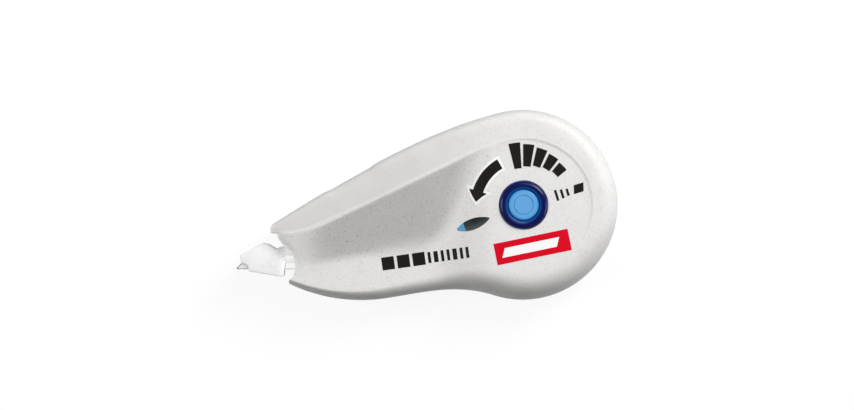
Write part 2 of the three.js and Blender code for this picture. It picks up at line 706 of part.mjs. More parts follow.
function takeUpFlange() {
  const bottom = TAPE_TOP + RUNNING_GAP;
  const bore = TAKE_UP_AXLE_RADIUS + RUNNING_GAP;
  return closed(sleeve(bore, REEL_FLANGE_RADIUS, bottom, bottom + REEL_FLANGE_THICKNESS));
}

// Tape run and applicator tip

function neckMiddleY() {
  return (BLADE_REAR_Y + NECK_BOTTOM_Y) / 2;
}

/** Side view of the blade and its neck. */
function bladeShape() {
  return polygon([
    [NOSE_X, NOSE_Y],
    [BLADE_REAR_X + BLADE_STEP, NOSE_Y],
    [BLADE_REAR_X + NECK_SETBACK, NECK_BOTTOM_Y],
    [TRUNNION_X, NECK_BOTTOM_Y],
    [TRUNNION_X, BLADE_REAR_Y],
    [BLADE_REAR_X, BLADE_REAR_Y],
    [NOSE_X + CHISEL_RUN, NOSE_Y + CHISEL_RISE],
  ]);
}

/** Side view of a cheek that guides the tape's edge, with the arm that runs back into the case. */
function cheekShape() {
  const startX = NOSE_X + CHEEK_SETBACK;
  const bottomY = NOSE_Y - CHEEK_DROP;
  const onCheek = ([along, up]) => [startX + CHEEK_LENGTH * along, bottomY + CHEEK_HEIGHT * up];
  const upper = [[0, 0.634], [0.505, 1], [0.632, 0.958], [0.8, 0.831]];
  const lower = [
    [0.937, 0.61], [1, 0.38], [0.968, 0.028], [0.926, 0],
    [0.2, 0.169], [0.189, 0.282], [0.158, 0.366], [0.032, 0.423],
  ];
  return polygon([
    ...upper.map(onCheek),
    [ARM_START_X, ARM_TOP_Y],
    [ARM_END_X, ARM_TOP_Y],
    [ARM_END_X, ARM_BOTTOM_Y],
    ...lower.map(onCheek),
  ]);
}

function applicatorTip() {
  const blade = toSolid(prism(bladeShape(), -BLADE_HALF_WIDTH, BLADE_HALF_WIDTH));
  const front = toSolid(prism(cheekShape(), CHEEK_INNER, CHEEK_OUTER));
  const back = toSolid(prism(cheekShape(), -CHEEK_OUTER, -CHEEK_INNER));
  const reach = INNER_FRONT_HEIGHT - SEAT_CLEARANCE;
  const trunnion = toSolid(bar(TRUNNION_X, neckMiddleY(), TRUNNION_RADIUS, -reach, reach, 24));
  return toGeometry(blade.add(front).add(back).add(trunnion));
}

/** The ribbon along a line of points, as a flat outline of the tape's thickness. */
function ribbonShape(line) {
  const left = [];
  const right = [];
  line.forEach((point, i) => {
    const before = line[Math.max(i - 1, 0)];
    const after = line[Math.min(i + 1, line.length - 1)];
    const along = after.clone().sub(before).normalize();
    const side = new THREE.Vector2(-along.y, along.x).multiplyScalar(TAPE_THICKNESS / 2);
    left.push(point.clone().add(side));
    right.unshift(point.clone().sub(side));
  });
  return new THREE.Shape([...left, ...right]);
}

/** The tape from the supply roll under the blade, round the nose and back to the take-up drum. */
function tapeRun() {
  const nose = new THREE.Vector2(NOSE_X, NOSE_Y);
  const chisel = new THREE.Vector2(CHISEL_RUN, CHISEL_RISE);
  const chiselDeg = THREE.MathUtils.radToDeg(Math.atan2(chisel.y, chisel.x)) + 90;
  const line = [
    new THREE.Vector2(0, -(FULL_ROLL_RADIUS + SEAT_CLEARANCE + TAPE_THICKNESS / 2)),
    new THREE.Vector2(BLADE_REAR_X, NOSE_Y - STRAND_OFFSET),
  ];
  for (const share of [0, 0.25, 0.5, 0.75, 1]) {
    line.push(onCircle(STRAND_OFFSET, lerp(270, chiselDeg, share)).add(nose));
  }
  line.push(onCircle(STRAND_OFFSET, chiselDeg - 12).add(nose).add(chisel));
  line.push(new THREE.Vector2(BLADE_REAR_X - STRAND_OFFSET * 0.3, BLADE_REAR_Y + STRAND_OFFSET));
  const drumSide = TAKE_UP_Y - USED_ROLL_RADIUS - SEAT_CLEARANCE - TAPE_THICKNESS / 2;
  line.push(new THREE.Vector2(TAKE_UP_X, drumSide));
  return closed(prism(ribbonShape(line), -TAPE_TOP, TAPE_TOP));
}

// Assembly

function piece(name, geometry, finish, x = 0, y = 0) {
  const mesh = new THREE.Mesh(geometry, new THREE.MeshStandardMaterial(finish));
  mesh.name = name;
  mesh.position.set(x, y, 0);
  return mesh;
}

const dispenser = new THREE.Group();
dispenser.add(piece('case_front', frontShell(), COLOURS.shell));
dispenser.add(piece('case_back', backShell(), COLOURS.shell));
dispenser.add(piece('drive_gear', driveGear(), COLOURS.drive));
dispenser.add(piece('knob_cap', knobCap(), COLOURS.cap));
dispenser.add(piece('clutch_ring', clutchRing(), COLOURS.clutch));
dispenser.add(piece('supply_core', supplyCore(), COLOURS.reel));
dispenser.add(piece('supply_tape_roll', tapeRoll(SUPPLY_CORE_RADIUS, FULL_ROLL_RADIUS), COLOURS.freshTape));
dispenser.add(piece('take_up_reel', takeUpReel(), COLOURS.reel, TAKE_UP_X, TAKE_UP_Y));
dispenser.add(piece('take_up_flange', takeUpFlange(), COLOURS.reel, TAKE_UP_X, TAKE_UP_Y));
const usedTurns = tapeRoll(TAKE_UP_DRUM_RADIUS, USED_ROLL_RADIUS);
dispenser.add(piece('used_tape_roll', usedTurns, COLOURS.usedTape, TAKE_UP_X, TAKE_UP_Y));
dispenser.add(piece('tape_run', tapeRun(), COLOURS.usedTape));
dispenser.add(piece('applicator_tip', applicatorTip(), COLOURS.tip));

// The origin is the middle of the underside of the whole object's box
const leftEnd = NOSE_X - STRAND_OFFSET - TAPE_THICKNESS / 2;
dispenser.position.set(-(leftEnd + HEAD_RADIUS) / 2, (BELLY_DEPTH - HEAD_RADIUS) / 2, CREST_HEIGHT);

export default dispenser;
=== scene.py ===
"""Correction tape dispenser: the finished looks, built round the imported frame.

Sizes are millimetres in the case's own frame: the winding axis is at x = y = 0 and z = 0 is the
parting plane between the two half shells. They become metres when a vertex is placed.
"""

import json
import logging
import math
from bisect import bisect_right
from collections.abc import Callable, Iterator, Sequence
from contextlib import contextmanager
from dataclasses import dataclass, field
from enum import Enum
from itertools import accumulate

import bmesh
import bpy
from mathutils import Matrix, Vector


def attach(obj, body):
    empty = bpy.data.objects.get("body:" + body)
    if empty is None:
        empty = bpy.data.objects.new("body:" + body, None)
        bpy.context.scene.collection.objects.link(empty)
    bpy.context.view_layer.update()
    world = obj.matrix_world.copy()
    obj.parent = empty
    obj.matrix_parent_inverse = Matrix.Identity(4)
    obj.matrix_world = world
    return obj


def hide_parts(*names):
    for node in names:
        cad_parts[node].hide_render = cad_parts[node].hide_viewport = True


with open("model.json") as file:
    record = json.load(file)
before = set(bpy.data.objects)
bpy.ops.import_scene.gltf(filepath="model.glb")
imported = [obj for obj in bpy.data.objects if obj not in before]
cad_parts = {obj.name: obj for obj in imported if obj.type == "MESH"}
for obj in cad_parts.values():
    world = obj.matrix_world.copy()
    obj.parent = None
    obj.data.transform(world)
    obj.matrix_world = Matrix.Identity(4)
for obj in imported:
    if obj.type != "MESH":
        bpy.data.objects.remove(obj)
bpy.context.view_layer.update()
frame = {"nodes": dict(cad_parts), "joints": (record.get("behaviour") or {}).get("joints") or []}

LOG = logging.getLogger("dispenser")
MM = 0.001

# Vertices nearer than these are merged: on plain pieces, on cut shells and on a shell's fine skin
WELD = 0.002 * MM
CUT_WELD = 0.003 * MM
SKIN_WELD = 0.004 * MM

# Numbers of a Mix node's sockets, whose names repeat for each kind of value
COLOUR_A, COLOUR_B, COLOUR_RESULT = 6, 7, 2
NUMBER_A, NUMBER_B, NUMBER_RESULT = 2, 3, 0

Colour = tuple[float, float, float]
Point = tuple[float, float]
Span = tuple[float, float]
Chart = Callable[[float, float], Vector]


def srgb(red: int, green: int, blue: int) -> Colour:
    """The linear colour of an 8-bit screen colour.

    Args:
        red: the red channel, from 0 to 255.
        green: the green channel.
        blue: the blue channel.

    Returns:
        The three channels from 0 to 1.
    """
    def linear(value: int) -> float:
        """One channel, made linear."""
        share = value / 255
        return share / 12.92 if share <= 0.04045 else ((share + 0.055) / 1.055) ** 2.4
    return linear(red), linear(green), linear(blue)


def joint_place(name: str) -> Vector:
    """The place of a joint of the frame, in metres."""
    joints = {joint["name"]: joint for joint in frame["joints"]}
    return Vector(joints[name]["pos_m"])


WINDING_AXIS = joint_place("drive_spin")
TAKE_UP_AXIS = joint_place("take_up_spin")


def place(x: float, y: float, z: float) -> Vector:
    """A point of the case's own frame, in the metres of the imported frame."""
    return WINDING_AXIS + Vector((x, y, z)) * MM


def mix(start: float, end: float, share: float) -> float:
    """The value a share of the way from start to end."""
    return start + (end - start) * share


def limit(value: float, low: float = 0.0, high: float = 1.0) -> float:
    """The value held between two limits."""
    return min(max(value, low), high)


def ease(value: float, start: float, end: float) -> float:
    """A smooth step from 0 at start to 1 at end."""
    share = limit((value - start) / (end - start))
    return share * share * (3 - 2 * share)


def round_max(first: float, second: float, width: float) -> float:
    """The larger of two values, with the corner between them rounded over a width."""
    share = max(width - abs(first - second), 0.0) / width
    return max(first, second) + share * share * width / 4


def on_circle(radius: float, degrees: float) -> Vector:
    """The flat point at an angle on a circle round the origin."""
    angle = math.radians(degrees)
    return Vector((radius * math.cos(angle), radius * math.sin(angle)))


def arc(centre: Vector, radius: float, start: float, end: float, steps: int = 160) -> list[Vector]:
    """Points of an arc between two angles in degrees."""
    return [centre + on_circle(radius, mix(start, end, step / steps)) for step in range(steps + 1)]


def bezier(start: Vector, leave: Vector, arrive: Vector, end: Vector, steps: int = 160) -> list[Vector]:
    """Points of a cubic curve.

    Args:
        start: the first point.
        leave: the handle that the curve leaves towards.
        arrive: the handle that it arrives from.
        end: the last point.
        steps: how many pieces the curve has.

    Returns:
        The points in order.
    """
    points = []
    for step in range(steps + 1):
        t = step / steps
        s = 1 - t
        points.append(start * s**3 + leave * (3 * s * s * t) + arrive * (3 * s * t * t) + end * t**3)
    return points


# Node helpers


@dataclass
class Graph:
    """A node tree with short calls for adding nodes and links."""

    tree: bpy.types.NodeTree

    def add(self, kind: str, inputs: dict[str | int, object] | None = None,
            **settings: object) -> bpy.types.Node:
        """Adds one node, sets its properties and feeds its inputs.

        Args:
            kind: Blender's name of the node type.
            inputs: values or sockets for inputs, by name or number.
            settings: properties of the node.

        Returns:
            The new node.
        """
        node = self.tree.nodes.new(kind)
        for name, value in settings.items():
            setattr(node, name, value)
        for name, value in (inputs or {}).items():
            self.feed(node, name, value)
        return node

    def feed(self, node: bpy.types.Node, name: str | int, value: object) -> None:
        """Gives an input a value, or links it to a socket.

        Args:
            node: the node that owns the input.
            name: the input's name or number.
            value: a number, a colour, a vector or another node's output.
        """
        socket = node.inputs[name]
        if isinstance(value, bpy.types.NodeSocket):
            self.tree.links.new(value, socket)
        elif isinstance(value, (tuple, Vector)):
            socket.default_value = [*value, 1.0][:len(socket.default_value)]
        else:
            socket.default_value = value

    def math(self, operation: str, first: object, second: object = 0.0,
             third: object = 0.0) -> bpy.types.NodeSocket:
        """The result of a Math node with up to three values or sockets."""
        return self.add("ShaderNodeMath", {0: first, 1: second, 2: third}, operation=operation).outputs[0]

    def mix_colour(self, share: object, first: object, second: object,
                   blend: str = "MIX") -> bpy.types.NodeSocket:
        """A blend of two colours, where share says how much the second one counts."""
        inputs = {0: share, COLOUR_A: first, COLOUR_B: second}
        return self.add("ShaderNodeMix", inputs, data_type="RGBA", blend_type=blend).outputs[COLOUR_RESULT]

    def noise(self, vector: object, scale: object, detail: float = 2.0) -> bpy.types.Node:
        """A noise texture read at a vector."""
        return self.add("ShaderNodeTexNoise", {"Vector": vector, "Scale": scale, "Detail": detail})

    def remap(self, value: object, start: float, end: float, low: float = 0.0, high: float = 1.0,
              kind: str = "LINEAR") -> bpy.types.NodeSocket:
        """A value that goes from low to high while the given one goes from start to end."""
        inputs = {"Value": value, "From Min": start, "From Max": end, "To Min": low, "To Max": high}
        return self.add("ShaderNodeMapRange", inputs, interpolation_type=kind).outputs[0]

    def attribute(self, name: str) -> bpy.types.NodeSocket:
        """A number that the mesh holds at each vertex."""
        return self.add("ShaderNodeAttribute", attribute_name=name).outputs["Fac"]

    def coordinates(self) -> bpy.types.NodeSocket:
        """The object's own coordinates, centred on the winding axis."""
        inputs = {"Vector": self.add("ShaderNodeTexCoord").outputs["Object"], "Location": -WINDING_AXIS}
        return self.add("ShaderNodeMapping", inputs, vector_type="POINT").outputs[0]

    def reach(self) -> bpy.types.NodeSocket:
        """The distance from the winding axis."""
        flat = self.add("ShaderNodeVectorMath", {0: self.coordinates(), 1: (1, 1, 0)}, operation="MULTIPLY")
        return self.add("ShaderNodeVectorMath", {0: flat.outputs[0]}, operation="LENGTH").outputs["Value"]

    def seen(self, path: bpy.types.Node) -> bpy.types.NodeSocket:
        """1 for rays that reach the camera straight or through clear plastic, else 0."""
        return self.math("MAXIMUM", path.outputs["Is Camera Ray"], path.outputs["Is Transmission Ray"])


def new_group(name: str, inputs: dict[str, float], outputs: Sequence[str]) -> Graph:
    """An empty shader node group with a vector input, number inputs and number outputs.

    Args:
        name: the group's name.
        inputs: each number input with its value at first.
        outputs: the names of the outputs.

    Returns:
        The group's graph, with a node called in and a node called out.
    """
    group = bpy.data.node_groups.new(name, "ShaderNodeTree")
    group.interface.new_socket("Vector", in_out="INPUT", socket_type="NodeSocketVector")
    for label, value in inputs.items():
        socket = group.interface.new_socket(label, in_out="INPUT", socket_type="NodeSocketFloat")
        socket.default_value = value
    for label in outputs:
        group.interface.new_socket(label, in_out="OUTPUT", socket_type="NodeSocketFloat")
    group.nodes.new("NodeGroupInput").name = "in"
    group.nodes.new("NodeGroupOutput").name = "out"
    return Graph(group)


def build_grain_group() -> bpy.types.NodeTree:
    """Fine moulded grain: an uneven height and a mask for uneven gloss.

    Returns:
        The node group, with outputs Height and Unevenness.
    """
    graph = new_group("moulded_grain", {"Fine": 9000.0, "Broad": 350.0}, ("Height", "Unevenness"))
    given = graph.tree.nodes["in"].outputs
    fine = graph.noise(given["Vector"], given["Fine"], detail=3.0).outputs["Fac"]
    broad = graph.noise(given["Vector"], given["Broad"], detail=4.0).outputs["Fac"]
    graph.feed(graph.tree.nodes["out"], "Height", graph.math("ADD", fine, broad))
    graph.feed(graph.tree.nodes["out"], "Unevenness", broad)
    return graph.tree


def build_fleck_group() -> bpy.types.NodeTree:
    """Scattered plant fibre flecks: each cell of a warped lattice may hold one fleck of its own tint.

    Returns:
        The node group, with outputs Mask and Tint.
    """
    inputs = {
        "Scale": 900.0,
        "Size": 0.2,
        "Share": 0.3,
        "Least Size": 0.35,
        "Warp Scale": 2600.0,
        "Warp Reach": 0.3 * MM,
    }
    graph = new_group("fibre_flecks", inputs, ("Mask", "Tint"))
    given = graph.tree.nodes["in"].outputs
    warp = graph.noise(given["Vector"], given["Warp Scale"]).outputs["Color"]
    push = graph.add("ShaderNodeVectorMath", {0: warp, "Scale": given["Warp Reach"]}, operation="SCALE")
    moved = graph.add("ShaderNodeVectorMath", {0: given["Vector"], 1: push.outputs[0]}, operation="ADD")
    lattice = {"Vector": moved.outputs[0], "Scale": given["Scale"]}
    cells = graph.add("ShaderNodeTexVoronoi", lattice, feature="F1").outputs
    chance = graph.add("ShaderNodeSeparateColor", {0: cells["Color"]}).outputs
    size = graph.math("MULTIPLY", given["Size"], graph.math("ADD", chance[1], given["Least Size"]))
    inside = graph.math("LESS_THAN", cells["Distance"], size)
    present = graph.math("LESS_THAN", chance[0], given["Share"])
    graph.feed(graph.tree.nodes["out"], "Mask", graph.math("MULTIPLY", inside, present))
    graph.feed(graph.tree.nodes["out"], "Tint", chance[2])
    return graph.tree


@dataclass
class Groups:
    """The shader node groups that several finishes share."""

    grain: bpy.types.NodeTree = field(default_factory=build_grain_group)
    flecks: bpy.types.NodeTree = field(default_factory=build_fleck_group)


# Finishes


@dataclass(frozen=True)
class Finish:
    """What every finish holds: a name, a colour and the moulded grain."""

    name: str
    colour: Colour
    roughness: float = 0.5
    grain_height: float = 0.02
    uneven_gloss: float = 0.12
    ior: float = 1.46
    transmission: float = 0.0
    subsurface: float = 0.0
    specular: float = 0.5
    # painted light: an emission that makes the piece glow though it is no lamp
    painted_glow: float = 0.0
    scatter: float = 1.2
    grain_strength: float = 0.35
    gloss_span: Span = (0.3, 0.7)

    def build(self, groups: Groups) -> bpy.types.Material:
        """Makes the material: the moulded grain, and what the finish adds to it.

        Args:
            groups: the shared node groups.

        Returns:
            The material.
        """
        material = bpy.data.materials.new(self.name)
        material.use_nodes = True
        graph = Graph(material.node_tree)
        shader = graph.tree.nodes["Principled BSDF"]
        grain = graph.add("ShaderNodeGroup", {"Vector": graph.coordinates()}, node_tree=groups.grain).outputs
        rough = self.roughness - self.uneven_gloss / 2, self.roughness + self.uneven_gloss / 2
        relief = {
            "Strength": self.grain_strength,
            "Distance": self.grain_height * MM,
            "Height": grain["Height"],
        }
        for name, value in (
            ("Base Color", self.colour),
            ("Roughness", graph.remap(grain["Unevenness"], *self.gloss_span, *rough)),
            ("IOR", self.ior),
            ("Transmission Weight", self.transmission),
            ("Subsurface Weight", self.subsurface),
            ("Subsurface Scale", self.scatter * MM),
            ("Subsurface Radius", (1.0, 1.0, 1.0)),
            ("Specular IOR Level", self.specular),
            ("Emission Color", self.colour),
            ("Emission Strength", self.painted_glow),
            ("Normal", graph.add("ShaderNodeBump", relief, name="grain_bump").outputs[0]),
        ):
            graph.feed(shader, name, value)
        self.enrich(graph, shader, groups)
        return material

    def enrich(self, graph: Graph, shader: bpy.types.Node, groups: Groups) -> None:
        """Adds nothing: a plain finish is one colour with the moulded grain."""


@dataclass(frozen=True)
class Fleck:
    """One size of fleck: cells to the metre, size in a cell, share of cells that hold one, strength."""

    scale: float
    size: float
    share: float
    strength: float


@dataclass(frozen=True)
class FleckedPlastic(Finish):
    """Off-white plastic filled with plant fibre, which shows as fine tan, grey and brown flecks."""

    shade: Colour = srgb(219, 217, 211)
    # painted shade: the tone that darkens the finger scoop and the top band, by the skin's shaded attribute
    painted_shade_tone: float = 0.66
    # painted highlight along the crest line and the rounded mouth edge, and how strong it is
    crest_highlight: Colour = srgb(246, 243, 232)
    crest_glint: float = 0.4
    pale_fleck: Colour = srgb(190, 166, 122)
    dark_fleck: Colour = srgb(112, 100, 78)
    cloud_scale: float = 260.0
    cloud_detail: float = 6.0
    cloud_span: Span = (0.42, 0.75)
    cloud_share: float = 0.28
    flecks: tuple[Fleck, ...] = (
        Fleck(950.0, 0.13, 0.16, 0.8),
        Fleck(2100.0, 0.24, 0.34, 0.5),
        Fleck(3600.0, 0.4, 0.5, 0.3),
    )

    def enrich(self, graph: Graph, shader: bpy.types.Node, groups: Groups) -> None:
        """Adds cloudy colour, painted shade on the scoop and top band, a painted highlight on the crest and
        mouth edge, and three sizes of flecks.

        Args:
            graph: the material's graph.
            shader: its Principled node.
            groups: the shared node groups.
        """
        vector = graph.coordinates()
        cloud = graph.noise(vector, self.cloud_scale, self.cloud_detail).outputs["Fac"]
        cloudy = graph.remap(cloud, *self.cloud_span, high=self.cloud_share)
        colour = graph.mix_colour(cloudy, self.colour, self.shade)
        # painted shade on the finger scoop and top band, by the shaded attribute
        painted_shade = graph.mix_colour(1.0, colour, (self.painted_shade_tone,) * 3, "MULTIPLY")
        colour = graph.mix_colour(graph.attribute("shaded"), colour, painted_shade)
        # painted highlight along the crest line and the rounded mouth edge, by the crest attribute
        glint = graph.math("MULTIPLY", graph.attribute("crest"), self.crest_glint)
        colour = graph.mix_colour(glint, colour, self.crest_highlight)
        flecked = graph.attribute("flecked")
        for fleck in self.flecks:
            inputs = {"Vector": vector, "Scale": fleck.scale, "Size": fleck.size, "Share": fleck.share}
            cells = graph.add("ShaderNodeGroup", inputs, node_tree=groups.flecks).outputs
            tint = graph.mix_colour(cells["Tint"], self.pale_fleck, self.dark_fleck)
            strength = graph.math("MULTIPLY", flecked, fleck.strength)
            colour = graph.mix_colour(graph.math("MULTIPLY", cells["Mask"], strength), colour, tint)
        graph.feed(shader, "Base Color", colour)


@dataclass(frozen=True)
class RingedPlastic(Finish):
    """Clear coloured plastic whose colour changes with the distance from the winding axis: paler near it, a
    painted glow that stands for light seen through the plastic.
    """

    # painted glow near the axis, where light shows through the clear plastic
    halo: Colour = srgb(0, 96, 168)
    halo_start: float = 3.2
    halo_end: float = 4.0

    def enrich(self, graph: Graph, shader: bpy.types.Node, groups: Groups) -> None:
        """Adds the change of colour, with the painted glow near the axis."""
        share = graph.remap(graph.reach(), self.halo_start * MM, self.halo_end * MM, kind="SMOOTHSTEP")
        graph.feed(shader, "Base Color", graph.mix_colour(share, self.halo, self.colour))


@dataclass(frozen=True)
class FrostedPlastic(Finish):
    """Frosted clear plastic with a painted glow that grows towards its root, where it lifts the shade inside
    the mouth.
    """

    # painted glow at the root, where the upper lip shades the tip
    root_painted_glow: float = 0.3
    root_start_x: float = -51.5
    root_end_x: float = -49.5

    def enrich(self, graph: Graph, shader: bpy.types.Node, groups: Groups) -> None:
        """Adds the painted glow, which grows towards the root.

        Args:
            graph: the material's graph.
            shader: its Principled node.
            groups: the shared node groups, which it doesn't use.
        """
        along = graph.add("ShaderNodeSeparateXYZ", {0: graph.coordinates()}).outputs["X"]
        start, end = self.root_start_x * MM, self.root_end_x * MM
        painted_glow = graph.remap(along, start, end, self.painted_glow, self.root_painted_glow, "SMOOTHSTEP")
        graph.feed(shader, "Emission Strength", painted_glow)


@dataclass(frozen=True)
class WoundTape(Finish):
    """The side of a wound roll: fine rings, one for each few turns."""

    ring: Colour = srgb(158, 156, 148)
    pitch: float = 0.16

    def enrich(self, graph: Graph, shader: bpy.types.Node, groups: Groups) -> None:
        """Adds rings round the roll's own axis, in colour and in relief.

        Args:
            graph: the material's graph.
            shader: its Principled node.
            groups: the shared node groups, which it doesn't use.
        """
        phase = graph.math("MULTIPLY", graph.reach(), 2 * math.pi / (self.pitch * MM))
        wave = graph.math("MULTIPLY_ADD", graph.math("SINE", phase), 0.5, 0.5)
        graph.feed(shader, "Base Color", graph.mix_colour(wave, self.colour, self.ring))
        graph.feed(graph.tree.nodes["grain_bump"], "Height", wave)


class Paint(Enum):
    """Every finish on the dispenser."""

    SHELL = FleckedPlastic("fibre_filled_plastic", srgb(232, 231, 230), 0.5, 0.03)
    # the knob and the cap are paler near the axis: a painted glow for light through the clear plastic
    KNOB = RingedPlastic("dark_blue_clear_plastic", srgb(1, 12, 82), 0.16, 0.004, 0.05, specular=0.3)
    # the gear glows with painted light, which lifts it in the shade behind the window
    GEAR = Finish("blue_clear_plastic", srgb(120, 190, 232), 0.2, 0.006, 0.08, 1.5, 0.0, 0.2, painted_glow=0.5)
    CAP = RingedPlastic("light_blue_plastic", srgb(34, 140, 214), 0.32, 0.006, 0.08, specular=0.3,
                        halo=srgb(102, 168, 224), halo_start=2.5, halo_end=3.3)
    REEL = Finish("reel_white_plastic", srgb(236, 236, 232), 0.45, 0.01)
    FRESH = WoundTape("fresh_tape_edges", srgb(232, 229, 222), 0.7, 0.01, specular=0.2)
    USED = Finish("used_tape_film", srgb(226, 230, 234), 0.25, 0.003, 0.1, 1.5, 0.35)
    WHITE_TAPE = Finish("white_coated_tape", srgb(246, 246, 244), 0.6, 0.004)
    # the tip glows faintly with painted light, and more at its root
    TIP = FrostedPlastic("frosted_clear_plastic", srgb(252, 252, 252), 0.45, 0.006, 0.1, 1.49, 0.0, 0.4,
                         specular=0.3, painted_glow=0.035)
    BLACK = Finish("black_print", srgb(26, 23, 19), 0.5, 0.004, specular=0.12)
    WHITE = Finish("white_print", srgb(252, 252, 251), 0.5, 0.004, specular=0.12)
    RED = Finish("red_print", srgb(220, 2, 34), 0.5, 0.004, specular=0.12)


@dataclass
class PaintShop:
    """Makes each finish once and hands it out."""

    groups: Groups = field(default_factory=Groups)
    made: dict[Paint, bpy.types.Material] = field(default_factory=dict)

    def get(self, paint: Paint) -> bpy.types.Material:
        """The material of a finish, made when it is first asked for.

        Args:
            paint: the finish.

        Returns:
            The material.
        """
        if paint not in self.made:
            self.made[paint] = paint.value.build(self.groups)
        return self.made[paint]


# Mesh helpers


def object_from(mesh: bmesh.types.BMesh, name: str, smooth_below: float = 35.0) -> bpy.types.Object:
    """Turns a bmesh into an object with sharp edges marked.

    Args:
        mesh: the bmesh, which is freed.
        name: the new object's name.
        smooth_below: edges that bend less than this many degrees shade smooth.

    Returns:
        The linked object at the origin.
    """
    bmesh.ops.remove_doubles(mesh, verts=mesh.verts, dist=WELD)
    mark_sharp(mesh, smooth_below)
    data = bpy.data.meshes.new(name)
    mesh.to_mesh(data)
    mesh.free()
    item = bpy.data.objects.new(name, data)
    bpy.context.scene.collection.objects.link(item)
    return item


def mark_sharp(mesh: bmesh.types.BMesh, smooth_below: float) -> None:
    """Shades faces smooth and marks the edges that bend more than an angle.

    Args:
        mesh: the bmesh.
        smooth_below: the angle in degrees.
    """
    threshold = math.radians(smooth_below)
    for face in mesh.faces:
        face.smooth = True
    for edge in mesh.edges:
        edge.smooth = len(edge.link_faces) == 2 and edge.calc_face_angle(0.0) < threshold


def look_towards(mesh: bmesh.types.BMesh, direction: int) -> None:
    """Makes the faces of an open skin look to one side.

    Args:
        mesh: the bmesh.
        direction: 1 for up and -1 for down.
    """
    bmesh.ops.recalc_face_normals(mesh, faces=mesh.faces)
    if sum(face.normal.z for face in mesh.faces) * direction < 0:
        bmesh.ops.reverse_faces(mesh, faces=mesh.faces)


def smooth(mesh: bmesh.types.BMesh, verts: Sequence[bmesh.types.BMVert], rounds: int) -> None:
    """Evens out some vertices, half of the way to their neighbours' middle in each round."""
    for _ in range(rounds):
        bmesh.ops.smooth_vert(mesh, verts=verts, factor=0.5, use_axis_x=True, use_axis_y=True,
                              use_axis_z=True)


def lift(mesh: bmesh.types.BMesh, extruded: dict[str, list], height: float) -> None:
    """Moves up what an extrusion has just made, by a height in millimetres."""
    corners = [item for item in extruded["geom"] if isinstance(item, bmesh.types.BMVert)]
    bmesh.ops.translate(mesh, verts=corners, vec=(0.0, 0.0, height * MM))


def turned(profile: Sequence[Point | Vector], name: str, steps: int = 96,
           axis: Vector = WINDING_AXIS) -> bpy.types.Object:
    """A body of revolution about Z.

    Args:
        profile: closed or axis-to-axis points of radius and height, in millimetres.
        name: the new object's name.
        steps: segments round the axis.
        axis: the place of the axis, in metres.

    Returns:
        The object.
    """
    mesh = bmesh.new()
    corners = [mesh.verts.new(axis + Vector((radius, 0, height)) * MM) for radius, height in profile]
    edges = [mesh.edges.new(pair) for pair in zip(corners, corners[1:])]
    bmesh.ops.spin(mesh, geom=corners + edges, cent=axis, axis=(0, 0, 1), angle=2 * math.pi,
                   steps=steps, use_merge=True, use_normal_flip=False, use_duplicate=False)
    bmesh.ops.remove_doubles(mesh, verts=mesh.verts, dist=WELD)
    bmesh.ops.recalc_face_normals(mesh, faces=mesh.faces)
    return object_from(mesh, name)


def rounded_corner(radius: float, height: float, round_by: float, steps: int) -> list[Vector]:
    """Points of a quarter round at the top outer corner of a profile, from the side to the top."""
    return arc(Vector((radius - round_by, height - round_by)), round_by, 0, 90, steps)


def slab(outline: Sequence[Point | Vector], bottom: float, top: float, name: str,
         bevel: float = 0.0, break_above: float = 25.0) -> bpy.types.Object:
    """A flat outline raised to a thickness, with its edges broken.

    Args:
        outline: corners in millimetres, in order.
        bottom: the lower height.
        top: the upper height.
        name: the new object's name.
        bevel: the size of the broken edges.
        break_above: edges that bend more than this many degrees are broken.

    Returns:
        The object.
    """
    mesh = bmesh.new()
    face = mesh.faces.new([mesh.verts.new(place(x, y, bottom)) for x, y in outline])
    lift(mesh, bmesh.ops.extrude_face_region(mesh, geom=[face]), top - bottom)
    bmesh.ops.recalc_face_normals(mesh, faces=mesh.faces)
    if bevel > 0:
        sharp = [edge for edge in mesh.edges if edge.calc_face_angle(0.0) > math.radians(break_above)]
        bmesh.ops.bevel(mesh, geom=sharp, offset=bevel * MM, offset_type="OFFSET", segments=3,
                        profile=0.5, affect="EDGES", material=-1, clamp_overlap=True)
    return object_from(mesh, name, smooth_below=30.0)


def bake(item: bpy.types.Object) -> None:
    """Applies an object's modifiers to its mesh.

    Args:
        item: the object.
    """
    graph = bpy.context.evaluated_depsgraph_get()
    data = bpy.data.meshes.new_from_object(item.evaluated_get(graph))
    item.modifiers.clear()
    item.data = data


def thicken(item: bpy.types.Object, thickness: float, offset: float) -> None:
    """Gives an open mesh a thickness.

    Args:
        item: the object.
        thickness: in millimetres.
        offset: -1 to grow inwards, 1 outwards and 0 both ways.
    """
    modifier = item.modifiers.new("thickness", "SOLIDIFY")
    modifier.thickness = thickness * MM
    modifier.offset = offset
    bake(item)


class Change(Enum):
    """What one closed body does to another, by Blender's name."""

    ADD = "UNION"
    CUT = "DIFFERENCE"


def combine(item: bpy.types.Object, other: bpy.types.Object, change: Change) -> None:
    """Combines a closed object with another closed one, which is then deleted.

    Args:
        item: the object that stays.
        other: the object that is added or taken away.
        change: which of the two.
    """
    modifier = item.modifiers.new("combine", "BOOLEAN")
    modifier.operation = change.value
    modifier.solver = "MANIFOLD"
    modifier.object = other
    bake(item)
    bpy.data.objects.remove(other)


@contextmanager
def editing(item: bpy.types.Object) -> Iterator[bmesh.types.BMesh]:
    """An object's mesh, open for changes that are written back at the end.

    Args:
        item: the object.

    Yields:
        The mesh as a bmesh.
    """
    mesh = bmesh.new()
    mesh.from_mesh(item.data)
    yield mesh
    mesh.to_mesh(item.data)
    mesh.free()


def dress(item: bpy.types.Object, material: bpy.types.Material) -> None:
    """Gives an object one material."""
    item.data.materials.clear()
    item.data.materials.append(material)


# The case


